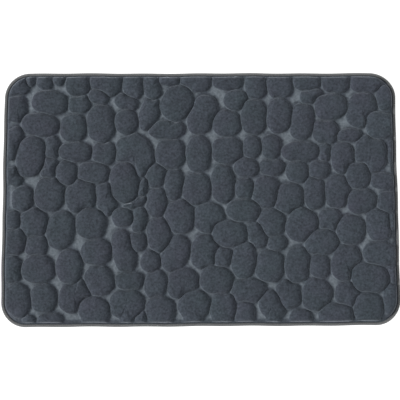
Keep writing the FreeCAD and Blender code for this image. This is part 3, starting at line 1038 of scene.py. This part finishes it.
points = np.concatenate([at_height(face_plan, face_height), at_height(back_plan, back_height)])
skip = len(face_plan)
edge = band(shifted(back_rim, skip), face_rim)
cover = new_piece(
    "cover_fleece",
    settled(points),
    face_faces + turned_over(back_faces, skip) + edge,
    FLEECE,
    {
        "crush_and_painted_light": np.concatenate([crush_and_painted_light, np.zeros(len(back_plan))]),
        "tone": np.concatenate([tone, np.ones(len(back_plan))]),
    },
)
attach(cover, "root")
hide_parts("fleece_cover")
print("top of the fleece in mm:", round(points[:, 2].max() / MM, 2))

# %% [markdown]
# ## Foam core
#
# The foam was moulded with the fleece, so its top is the fleece's back and its underside is flat. It is
# wholly hidden, and the coarse net is enough for it.

# %% Foam core
FIT = 0.05 * MM
foam_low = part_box("foam_core")[0]
foam_top = np.maximum(back_height - FIT, foam_low[2] + 4 * FIT)
points = np.concatenate([at_height(back_plan, foam_top), at_height(back_plan, foam_low[2] + FIT)])
skip = len(back_plan)
edge = band(shifted(back_rim, skip), back_rim)
core = new_piece("core_foam", settled(points), back_faces + turned_over(back_faces, skip) + edge, FOAM)
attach(core, "root")
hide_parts("foam_core")

# %% [markdown]
# ## Backing sheet
#
# A thin knit, stuck flat to the foam and caught under the tape with it. It is cut to the same outline, so
# the same walk round the mat gives its edge, and a loose grid of points lets it settle with the rest.

# %% Backing sheet
SHEET_GRID = 12 * MM


def lay_sheet(inset, low, high):
    """Points and faces of a flat closed sheet with the mat's outline."""
    rim = round_the_mat(inset, OUTER_STEP)
    across = np.arange(-HALF_LENGTH, HALF_LENGTH, SHEET_GRID)
    up = np.arange(-HALF_WIDTH, HALF_WIDTH, SHEET_GRID)
    x, y = (grid.ravel() for grid in np.meshgrid(across, up))
    keep = inset_of(x, y) > inset + OUTER_STEP
    plan = np.concatenate([rim, np.column_stack([x[keep], y[keep]])])
    outline = list(range(len(rim)))
    edges = list(zip(outline, outline[1:] + outline[:1]))
    made = geometry.delaunay_2d_cdt([Vector(point) for point in plan], edges, [outline], 0, WELD)
    faces = [tuple(face) for face, source in zip(made[2], made[5]) if source]
    top = [tuple(shifted(face, len(plan))) for face in faces]
    points = np.concatenate([at_height(plan, low), at_height(plan, high)])
    return points, top + turned_over(faces) + band(outline, shifted(outline, len(plan)))


points, faces = lay_sheet(LIP_INSET, backing_low[2], backing_high[2])
knit_sheet = new_piece("sheet_backing", settled(points), faces, BACKING)
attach(knit_sheet, "root")
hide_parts("backing_sheet")

# %% [markdown]
# ## What repeats: tape, stitches and dots
#
# A tape is one section carried round a path, a seam is one stitch repeated along it, and the dots are one
# dome on a staggered grid. Those are jobs for Geometry Nodes: each tree below is the rule, its inputs are
# the sizes, and the result is kept as a plain mesh.


# %% Geometry helpers
def closed_line(name, spots):
    """A closed flat curve through spots, for a tree to follow or to carry along."""
    curve = bpy.data.curves.new(name, "CURVE")
    curve.dimensions = "3D"
    line = curve.splines.new("POLY")
    line.points.add(len(spots) - 1)
    for point, (x, y) in zip(line.points, spots):
        point.co = (x, y, 0.0, 1.0)
    line.use_cyclic_u = True
    return new_object(name, curve)


def grow(name, tree, inputs, settle):
    """Runs a Geometry Nodes tree with named inputs and keeps what it makes as a settled plain piece."""
    seed = new_object(name + "_seed", bpy.data.meshes.new(name + "_seed"))
    modifier = seed.modifiers.new(name, "NODES")
    modifier.node_group = tree
    for socket in tree.interface.items_tree:
        if socket.in_out == "INPUT" and socket.name in inputs:
            modifier[socket.identifier] = inputs[socket.name]
    scene_now = bpy.context.evaluated_depsgraph_get()
    mesh = bpy.data.meshes.new_from_object(seed.evaluated_get(scene_now))
    bpy.data.objects.remove(seed)
    places = np.zeros(len(mesh.vertices) * 3)
    mesh.vertices.foreach_get("co", places)
    mesh.vertices.foreach_set("co", settle(places.reshape(-1, 3)).ravel())
    mesh.polygons.foreach_set("material_index", np.zeros(len(mesh.polygons), np.int32))
    mesh.materials.clear()
    mesh.materials.append(inputs["Finish"])
    mesh.name = name
    print(name, "faces:", len(mesh.polygons), "volume in ml:", round(signed_volume(mesh) / MILLILITRE, 2))
    return new_object(name, mesh)


# %% Seam line
STITCH_LENGTH = 3.5 * MM
SEAM_STEP = 1 * MM

seam = round_the_mat(SEAM_INSET, SEAM_STEP)
seam_length = np.hypot(*(np.roll(seam, -1, axis=0) - seam).T).sum()
STITCHES = round(seam_length / STITCH_LENGTH)
STITCH_PITCH = seam_length / STITCHES
seam_path = closed_line("seam_path", seam)
print("stitches:", STITCHES, "pitch in mm:", round(STITCH_PITCH / MM, 3))

# %% [markdown]
# ## Edge tape
#
# The tape is one ribbed strip, folded round the rim and stitched through both flaps at once. A curve with a
# bevel could carry its section, but a tree can also store where each point lies for the ribs, and dimple
# the flaps. The section is drawn once: round at the fold, slack towards its edges and drawn in at the seam.
# The path is the seam itself, so the dimples where the needle went through fall between the stitches.

# %% Tape section
TAPE_ROUND = 1.5 * MM
TAPE_END = 0.35 * MM
FOLD_POINTS = 6
LINING_POINTS = 4
END_POINTS = 4
SEAM_GROOVE = 0.2 * MM
GROOVE_REACH = 0.7 * MM


def arc(out, up, radius, start, stop, count):
    """Points along an arc about a middle, with angles in degrees."""
    angles = np.radians(np.linspace(start, stop, count))
    return [(out + radius * math.cos(angle), up + radius * math.sin(angle)) for angle in angles]


def seam_dip(level, towards):
    """The small valley that the seam draws into a flap, from the rim inwards."""
    sides = [-SEAM_INSET + GROOVE_REACH, -SEAM_INSET, -SEAM_INSET - GROOVE_REACH]
    return [(sides[0], level), (sides[1], level + towards * SEAM_GROOVE), (sides[2], level)]


def tape_section():
    """The folded tape's section as one loop: how far out from the rim, and up from the floor."""
    low_fold = TAPE_ROUND
    high_fold = TAPE_TOP - TAPE_ROUND
    lining = TAPE_ROUND - TAPE_THICKNESS
    ends = TAPE_END - TAPE_COVER
    outside = arc(-TAPE_ROUND, low_fold, TAPE_ROUND, -90, 0, FOLD_POINTS)
    outside += arc(-TAPE_ROUND, high_fold, TAPE_ROUND, 0, 90, FOLD_POINTS)
    upper_flap = seam_dip(TAPE_TOP, -1) + arc(ends, TAPE_TOP - TAPE_END, TAPE_END, 90, 180, END_POINTS)
    inside = [(-TAPE_COVER, LIP_TOP)] + arc(-TAPE_ROUND, high_fold, lining, 90, 0, LINING_POINTS)
    inside += arc(-TAPE_ROUND, low_fold, lining, 0, -90, LINING_POINTS) + [(-TAPE_COVER, TAPE_THICKNESS)]
    lower_flap = arc(ends, TAPE_END, TAPE_END, 180, 270, END_POINTS) + seam_dip(0.0, 1)[::-1]
    return outside + upper_flap + inside + lower_flap


section_spots = [(out + SEAM_INSET, -up) for out, up in tape_section()]
print("points of the tape's section:", len(section_spots))

# %% Tape tree
recipe, given, result = new_group(
    "folded_tape",
    "GeometryNodeTree",
    {
        "Path": ("Object", None),
        "Section": ("Object", None),
        "Stitch Pitch": ("Float", 0.0035),
        "Dimple": ("Float", 0.0002),
        "Dimple Reach": ("Float", 0.0012),
        "Middle Height": ("Float", 0.0023),
        "Finish": ("Material", None),
    },
    {"Geometry": "Geometry"},
)


def follow(recipe, curve, name, value):
    """The curve, with a value stored on its points under a name."""
    inputs = {"Geometry": curve, "Name": name, "Value": value}
    return recipe.add("GeometryNodeStoreNamedAttribute", inputs, domain="POINT").outputs[0]


def recall(recipe, name):
    """A stored value."""
    return recipe.add("GeometryNodeInputNamedAttribute", {"Name": name}).outputs[0]


def spline_length(recipe):
    """How far along its curve each point lies."""
    return recipe.add("GeometryNodeSplineParameter", {}).outputs["Length"]


path = recipe.add("GeometryNodeObjectInfo", {"Object": given["Path"]}).outputs["Geometry"]
path = follow(recipe, path, "along", spline_length(recipe))
section = recipe.add("GeometryNodeObjectInfo", {"Object": given["Section"]}).outputs["Geometry"]
section = follow(recipe, section, "across", spline_length(recipe))
drawn = recipe.add("ShaderNodeSeparateXYZ", {0: recipe.add("GeometryNodeInputPosition", {}).outputs[0]})
section = follow(recipe, section, "from_seam", drawn.outputs["X"])
swept = recipe.add("GeometryNodeCurveToMesh", {"Curve": path, "Profile Curve": section}).outputs[0]
swept = recipe.add("GeometryNodeFlipFaces", {"Mesh": swept}).outputs[0]
stitches_on = recipe.math("DIVIDE", recall(recipe, "along"), given["Stitch Pitch"])
turn = recipe.math("MULTIPLY", stitches_on, math.tau)
between = recipe.math("MULTIPLY_ADD", recipe.math("COSINE", turn), -0.5, 0.5)
aside = recipe.math("DIVIDE", recall(recipe, "from_seam"), given["Dimple Reach"])
near = recipe.math("SUBTRACT", 1.0, recipe.math("MULTIPLY", aside, aside), clamp=True)
deep = recipe.math("MULTIPLY", recipe.math("MULTIPLY", between, near), given["Dimple"])
spot = recipe.add("ShaderNodeSeparateXYZ", {0: recipe.add("GeometryNodeInputPosition", {}).outputs[0]})
above = recipe.math("SIGN", recipe.math("SUBTRACT", spot.outputs["Z"], given["Middle Height"]))
pull = recipe.math("MULTIPLY", recipe.math("MULTIPLY", above, deep), -1.0)
offset = recipe.add("ShaderNodeCombineXYZ", {"Z": pull}).outputs[0]
swept = recipe.add("GeometryNodeSetPosition", {"Geometry": swept, "Offset": offset}).outputs[0]
swept = recipe.add("GeometryNodeRealizeInstances", {"Geometry": swept}).outputs[0]
swept = recipe.add("GeometryNodeSetMaterial", {"Geometry": swept, "Material": given["Finish"]}).outputs[0]
recipe.wire(result, {"Geometry": swept})
FOLDED_TAPE = recipe.tree

# %% Edge tape
# A counter-clockwise path turns a section's first axis out and its second one down, hence the minus above.
section_line = closed_line("tape_section", section_spots)
tape_sizes = {
    "Path": seam_path,
    "Section": section_line,
    "Stitch Pitch": STITCH_PITCH,
    "Middle Height": TAPE_TOP / 2,
    "Finish": TAPE,
}
edge_tape = grow("tape_edge", FOLDED_TAPE, tape_sizes, settled)
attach(edge_tape, "root")
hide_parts("edge_binding")

# %% [markdown]
# ## Two threads of the seam
#
# A lockstitch has a needle thread above and a bobbin thread below, each seen as a row of short plump
# strokes that dive into the tape at both ends. A thread swept along its whole path would also have the turns
# that the tape hides. So a tree sets one stroke, a stretched ball, at each stitch, and lets it lean a bit.

# %% Stitch tree
recipe, given, result = new_group(
    "stitch_row",
    "GeometryNodeTree",
    {
        "Path": ("Object", None),
        "Stitches": ("Int", 600),
        "Height": ("Float", 0.0044),
        "Half Length": ("Float", 0.00155),
        "Half Thickness": ("Float", 0.00025),
        "Lean": ("Float", 0.05),
        "Finish": ("Material", None),
    },
    {"Geometry": "Geometry"},
)
path = recipe.add("GeometryNodeObjectInfo", {"Object": given["Path"]}).outputs["Geometry"]
stations = recipe.add("GeometryNodeResampleCurve", {"Curve": path, "Count": given["Stitches"]}).outputs[0]
along = recipe.add("GeometryNodeInputTangent", {}).outputs[0]
chance = recipe.add(
    "FunctionNodeRandomValue", {0: (-1, -1, -0.4), 1: (1, 1, 0.4), "Seed": 3}, data_type="FLOAT_VECTOR"
).outputs[0]
leaning = recipe.vector("SCALE", {0: chance, "Scale": given["Lean"]})
heading = recipe.vector("ADD", {0: leaning, 1: along})
facing = recipe.add("FunctionNodeAlignRotationToVector", {"Vector": heading}, axis="X").outputs[0]
stroke = recipe.add("GeometryNodeMeshUVSphere", {"Segments": 6, "Rings": 5, "Radius": 1.0}).outputs["Mesh"]
stroke = recipe.add("GeometryNodeSetShadeSmooth", {"Geometry": stroke}).outputs[0]
half_sizes = recipe.add(
    "ShaderNodeCombineXYZ",
    {"X": given["Half Length"], "Y": given["Half Thickness"], "Z": given["Half Thickness"]},
).outputs[0]
row = recipe.add(
    "GeometryNodeInstanceOnPoints",
    {"Points": stations, "Instance": stroke, "Rotation": facing, "Scale": half_sizes},
).outputs[0]
raised = recipe.add("ShaderNodeCombineXYZ", {"Z": given["Height"]}).outputs[0]
row = recipe.add("GeometryNodeSetPosition", {"Geometry": row, "Offset": raised}).outputs[0]
row = recipe.add("GeometryNodeRealizeInstances", {"Geometry": row}).outputs[0]
row = recipe.add("GeometryNodeSetMaterial", {"Geometry": row, "Material": given["Finish"]}).outputs[0]
recipe.wire(result, {"Geometry": row})
STITCH_ROW = recipe.tree

# %% Seam threads
STITCH_REACH = 1.55 * MM
STITCH_LEAN = 0.05
PROUD = 0.06 * MM
seams = [
    ("stitches_needle", "seam_needle_thread", (needle_low[2] + needle_high[2]) / 2 + PROUD),
    ("stitches_bobbin", "seam_bobbin_thread", (bobbin_low[2] + bobbin_high[2]) / 2),
]
for name, node, height in seams:
    stitch_sizes = {
        "Path": seam_path,
        "Stitches": STITCHES,
        "Height": height,
        "Half Length": STITCH_REACH,
        "Half Thickness": THREAD / 2,
        "Lean": STITCH_LEAN,
        "Finish": SEWING_THREAD,
    }
    stitches = grow(name, STITCH_ROW, stitch_sizes, settled)
    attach(stitches, "root")
    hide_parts(node)

# %% [markdown]
# ## Grip dots
#
# The dots are printed on the backing in rows that step by half a pitch. A grid gives the places, every
# second row is shifted, and the places near the rim or on the label are dropped. The dome is a ball whose
# upper half is pushed flat against the knit, so that it stays closed.

# %% Dot tree
recipe, given, result = new_group(
    "dot_print",
    "GeometryNodeTree",
    {
        "Pitch": ("Float", 0.012),
        "Half Length": ("Float", 0.336),
        "Half Width": ("Float", 0.211),
        "Corner": ("Float", 0.031),
        "Label Middle": ("Vector", None),
        "Label Reach": ("Vector", None),
        "Dot Size": ("Vector", None),
        "Stand": ("Float", 0.0008),
        "Finish": ("Material", None),
    },
    {"Geometry": "Geometry"},
)
row_gap = recipe.math("MULTIPLY", given["Pitch"], math.sqrt(3) / 2)
columns = recipe.math("CEIL", recipe.math("DIVIDE", given["Half Length"], given["Pitch"]))
rows = recipe.math("CEIL", recipe.math("DIVIDE", given["Half Width"], row_gap))
grid = recipe.add(
    "GeometryNodeMeshGrid",
    {
        "Size X": recipe.math("MULTIPLY", recipe.math("MULTIPLY", columns, given["Pitch"]), 2.0),
        "Size Y": recipe.math("MULTIPLY", recipe.math("MULTIPLY", rows, row_gap), 2.0),
        "Vertices X": recipe.math("MULTIPLY_ADD", columns, 2.0, 1.0),
        "Vertices Y": recipe.math("MULTIPLY_ADD", rows, 2.0, 1.0),
    },
).outputs["Mesh"]
spot = recipe.add("GeometryNodeInputPosition", {}).outputs[0]
up = recipe.add("ShaderNodeSeparateXYZ", {0: spot}).outputs["Y"]
row = recipe.math("ROUND", recipe.math("DIVIDE", up, row_gap))
half_pitch = recipe.math("MULTIPLY", given["Pitch"], 0.5)
shift = recipe.math("MULTIPLY", recipe.math("PINGPONG", row, 1.0), half_pitch)
sideways = recipe.add("ShaderNodeCombineXYZ", {"X": shift, "Z": given["Stand"]}).outputs[0]
grid = recipe.add("GeometryNodeSetPosition", {"Geometry": grid, "Offset": sideways}).outputs[0]
halves = recipe.add("ShaderNodeCombineXYZ", {"X": given["Half Length"], "Y": given["Half Width"]}).outputs[0]
corners = recipe.add("ShaderNodeCombineXYZ", {"X": given["Corner"], "Y": given["Corner"]}).outputs[0]
straight = recipe.vector("SUBTRACT", {0: halves, 1: corners})
over = recipe.vector("SUBTRACT", {0: recipe.vector("ABSOLUTE", {0: spot}), 1: straight})
over = recipe.vector("MAXIMUM", {0: over, 1: (0, 0, 0)})
over = recipe.vector("MULTIPLY", {0: over, 1: (1, 1, 0)})
past = recipe.add("ShaderNodeVectorMath", {0: over}, operation="LENGTH").outputs["Value"]
outside = recipe.math("GREATER_THAN", past, given["Corner"])
from_label = recipe.vector("ABSOLUTE", {0: recipe.vector("SUBTRACT", {0: spot, 1: given["Label Middle"]})})
clear_of_label = recipe.vector("SUBTRACT", {0: from_label, 1: given["Label Reach"]})
beyond = recipe.add("ShaderNodeSeparateXYZ", {0: clear_of_label})
on_label = recipe.math("LESS_THAN", recipe.math("MAXIMUM", beyond.outputs["X"], beyond.outputs["Y"]), 0.0)
grid = recipe.add(
    "GeometryNodeDeleteGeometry",
    {"Geometry": grid, "Selection": recipe.math("MAXIMUM", outside, on_label)},
    domain="POINT",
).outputs[0]
ball = recipe.add("GeometryNodeMeshUVSphere", {"Segments": 8, "Rings": 4, "Radius": 1.0}).outputs["Mesh"]
flat = recipe.vector("MINIMUM", {0: recipe.add("GeometryNodeInputPosition", {}).outputs[0], 1: (1, 1, 0)})
dome = recipe.add("GeometryNodeSetPosition", {"Geometry": ball, "Position": flat}).outputs[0]
dome = recipe.add("GeometryNodeSetShadeSmooth", {"Geometry": dome}).outputs[0]
rows = recipe.add(
    "GeometryNodeInstanceOnPoints", {"Points": grid, "Instance": dome, "Scale": given["Dot Size"]}
).outputs[0]
rows = recipe.add("GeometryNodeRealizeInstances", {"Geometry": rows}).outputs[0]
rows = recipe.add("GeometryNodeSetMaterial", {"Geometry": rows, "Material": given["Finish"]}).outputs[0]
recipe.wire(result, {"Geometry": rows})
DOT_PRINT = recipe.tree

# %% Grip dots
DOT_PITCH = 12 * MM
DOT_MARGIN = 14 * MM
DOT_RADIUS = 1.4 * MM
stand = dots_high[2]
label_middle = (label_low + label_high) / 2
label_reach = (label_high - label_low) / 2 + Vector((DOT_RADIUS, DOT_RADIUS, 0))
dot_sizes = {
    "Pitch": DOT_PITCH,
    "Half Length": HALF_LENGTH - DOT_MARGIN,
    "Half Width": HALF_WIDTH - DOT_MARGIN,
    "Corner": CORNER - DOT_MARGIN,
    "Label Middle": label_middle,
    "Label Reach": label_reach,
    "Dot Size": (DOT_RADIUS, DOT_RADIUS, stand),
    "Stand": stand,
    "Finish": RUBBER,
}
dots = grow("dots_rubber", DOT_PRINT, dot_sizes, settled)
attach(dots, "root")
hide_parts("grip_dots")

# %% [markdown]
# ## Care label
#
# A small blank satin tag, caught in the seam at one short edge and loose under the mat. It is a strip of
# four-sided faces with a faint ripple that grows towards its loose end. Solidify could give it a thickness
# as well. Both faces are written instead, which takes only a few lines.

# %% Care label
LABEL_COLUMNS = 24
LABEL_ROWS = 12
LABEL_THICKNESS = 0.22 * MM
LABEL_FIT = 0.02 * MM
RIPPLE = 0.14 * MM
RIPPLE_BEND_X = 4.1 * MM
RIPPLE_BEND_Y = 9 * MM


def lay_label():
    """Points and faces of the closed, faintly rippled tag."""
    across = np.linspace(label_low[0], label_high[0], LABEL_COLUMNS + 1)
    up = np.linspace(label_low[1], label_high[1], LABEL_ROWS + 1)
    x, y = (grid.ravel() for grid in np.meshgrid(across, up))
    loose = ease(x, label_low[0] + TAPE_COVER, label_high[0])
    wave = loose * RIPPLE * (1 + np.sin(x / RIPPLE_BEND_X + y / RIPPLE_BEND_Y))
    top = label_high[2] - LABEL_FIT - wave
    plan = np.column_stack([x, y])
    points = np.concatenate([at_height(plan, top - LABEL_THICKNESS), at_height(plan, top)])
    wide = LABEL_COLUMNS + 1
    corners = [row * wide + column for row in range(LABEL_ROWS) for column in range(LABEL_COLUMNS)]
    cells = [(corner, corner + 1, corner + wide + 1, corner + wide) for corner in corners]
    front = list(range(LABEL_COLUMNS))
    right = [row * wide + LABEL_COLUMNS for row in range(LABEL_ROWS)]
    back = [LABEL_ROWS * wide + column for column in range(LABEL_COLUMNS, 0, -1)]
    left = [row * wide for row in range(LABEL_ROWS, 0, -1)]
    hem = front + right + back + left
    upper = [tuple(shifted(cell, len(plan))) for cell in cells]
    return points, turned_over(cells) + upper + band(hem, shifted(hem, len(plan)))


points, faces = lay_label()
tag = new_piece("tag_care_label", settled(points), faces, SATIN)
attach(tag, "root")
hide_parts("care_label")

# %% [markdown]
# ## Guides
#
# The seam's line and the tape's section steered the trees and are no part of the mat, so they go.

# %% Clear away the guides
for guide in (seam_path, section_line):
    print("removed", guide.name)
    bpy.data.objects.remove(guide)

# %% [markdown]
# ## Floor and light
#
# The floor is paper that gives most of its white as a glow, over a dark grey base, so that the shadow beside
# the mat stays faint. It is clear from below, so that the underside can be seen. The sky is even and white,
# and adds no tint. One low, broad sun from the left, like a window, shows the relief: a thin bright line on
# each stone's left rim and a soft dark band on its right. A weak, very broad one from the back right is the
# reflector that lifts that dark a little.


# %% Floor
WHITE = (1.0, 1.0, 1.0, 1.0)
PAPER_COLOUR = (0.2, 0.2, 0.2)
FLOOR_HALF = 3.0

PAPER, recipe, shader, place = new_finish(
    "white_paper", Roughness=0.9, Emission_Strength=0.88, Emission_Color=WHITE
)
even = recipe.group(YARN_MOTTLE, {"Place": place, "Scale": 3.0, "Low": 0.98, "High": 1.0})
recipe.wire(shader, {"Base Color": toned(recipe, PAPER_COLOUR, even["Tone"])})
from_below = recipe.add("ShaderNodeNewGeometry", {}).outputs["Backfacing"]
clear = recipe.add("ShaderNodeBsdfTransparent", {}).outputs[0]
one_sided = recipe.add("ShaderNodeMixShader", {0: from_below, 1: shader.outputs[0], 2: clear}).outputs[0]
recipe.wire(recipe.tree.get_output_node("ALL"), {"Surface": one_sided})

floor_corners = [(-1, -1), (1, -1), (1, 1), (-1, 1)]
mesh = bpy.data.meshes.new("studio_floor")
mesh.from_pydata([(a * FLOOR_HALF, b * FLOOR_HALF, 0.0) for a, b in floor_corners], [], [(0, 1, 2, 3)])
mesh.materials.append(PAPER)
floor = new_object("studio_floor", mesh)
print("floor in metres:", 2 * FLOOR_HALF)

# %% Light
SKY = 1.05
SUN_FROM = Vector((-0.99, -0.10, 0.0)).normalized()
SUN_HEIGHT = math.radians(28)
SUN_SHARE = 0.95
SUN_SPREAD = math.radians(18)
FILL_FROM = Vector((0.8, 0.6, 0.0))
FILL_HEIGHT = math.radians(30)
FILL_SHARE = 0.15
FILL_SPREAD = math.radians(60)

world = bpy.data.worlds.new("studio")
world.use_nodes = True
sky = world.node_tree.nodes["Background"]
sky.inputs["Color"].default_value = WHITE
sky.inputs["Strength"].default_value = SKY
bpy.context.scene.world = world


def add_sun(name, from_side, height, share, spread):
    """A broad distant light. Its share is how much it adds on level ground, against the sky."""
    data = bpy.data.lights.new(name, "SUN")
    data.energy = share * SKY * math.pi / math.sin(height)
    data.angle = spread
    towards = from_side * math.cos(height) + Vector((0, 0, math.sin(height)))
    new_object(name, data).rotation_euler = towards.to_track_quat("Z", "Y").to_euler()
    print(name, "strength:", round(data.energy, 2))


add_sun("window", SUN_FROM, SUN_HEIGHT, SUN_SHARE, SUN_SPREAD)
add_sun("reflector", FILL_FROM, FILL_HEIGHT, FILL_SHARE, FILL_SPREAD)

# %% [markdown]
# ## Camera
#
# The camera looks almost straight down with a moderate lens, as for a picture in a shop. Its place is
# given the way a photographer would: what it aims at, from which side, how steeply, how far and how level.

# %% Camera
AIM = Vector((-1.55 * MM, -3.1 * MM, 0.0))
SIDE = math.radians(-8.85)
STEEPNESS = math.radians(84.88)
LEVEL = math.radians(8.62)
DISTANCE = 1.417
LENS = 71.8
SENSOR = 36.0
NEAREST = 0.05
FURTHEST = 50.0

backwards = Vector((
    math.sin(SIDE) * math.cos(STEEPNESS),
    -math.cos(SIDE) * math.cos(STEEPNESS),
    math.sin(STEEPNESS),
))
camera_data = bpy.data.cameras.new("camera")
camera_data.lens = LENS
camera_data.sensor_width = SENSOR
camera_data.clip_start = NEAREST
camera_data.clip_end = FURTHEST
camera = new_object("camera", camera_data)
camera.location = AIM + backwards * DISTANCE
level_turn = Vector((math.cos(SIDE), math.sin(SIDE), 0.0))
upwards = backwards.cross(level_turn)
rolled_right = level_turn * math.cos(LEVEL) + upwards * math.sin(LEVEL)
rolled_up = upwards * math.cos(LEVEL) - level_turn * math.sin(LEVEL)
camera.rotation_euler = Matrix((rolled_right, rolled_up, backwards)).transposed().to_euler()
bpy.context.scene.camera = camera
bpy.context.scene.view_settings.view_transform = "Standard"
print("camera at", [round(part, 3) for part in camera.location])
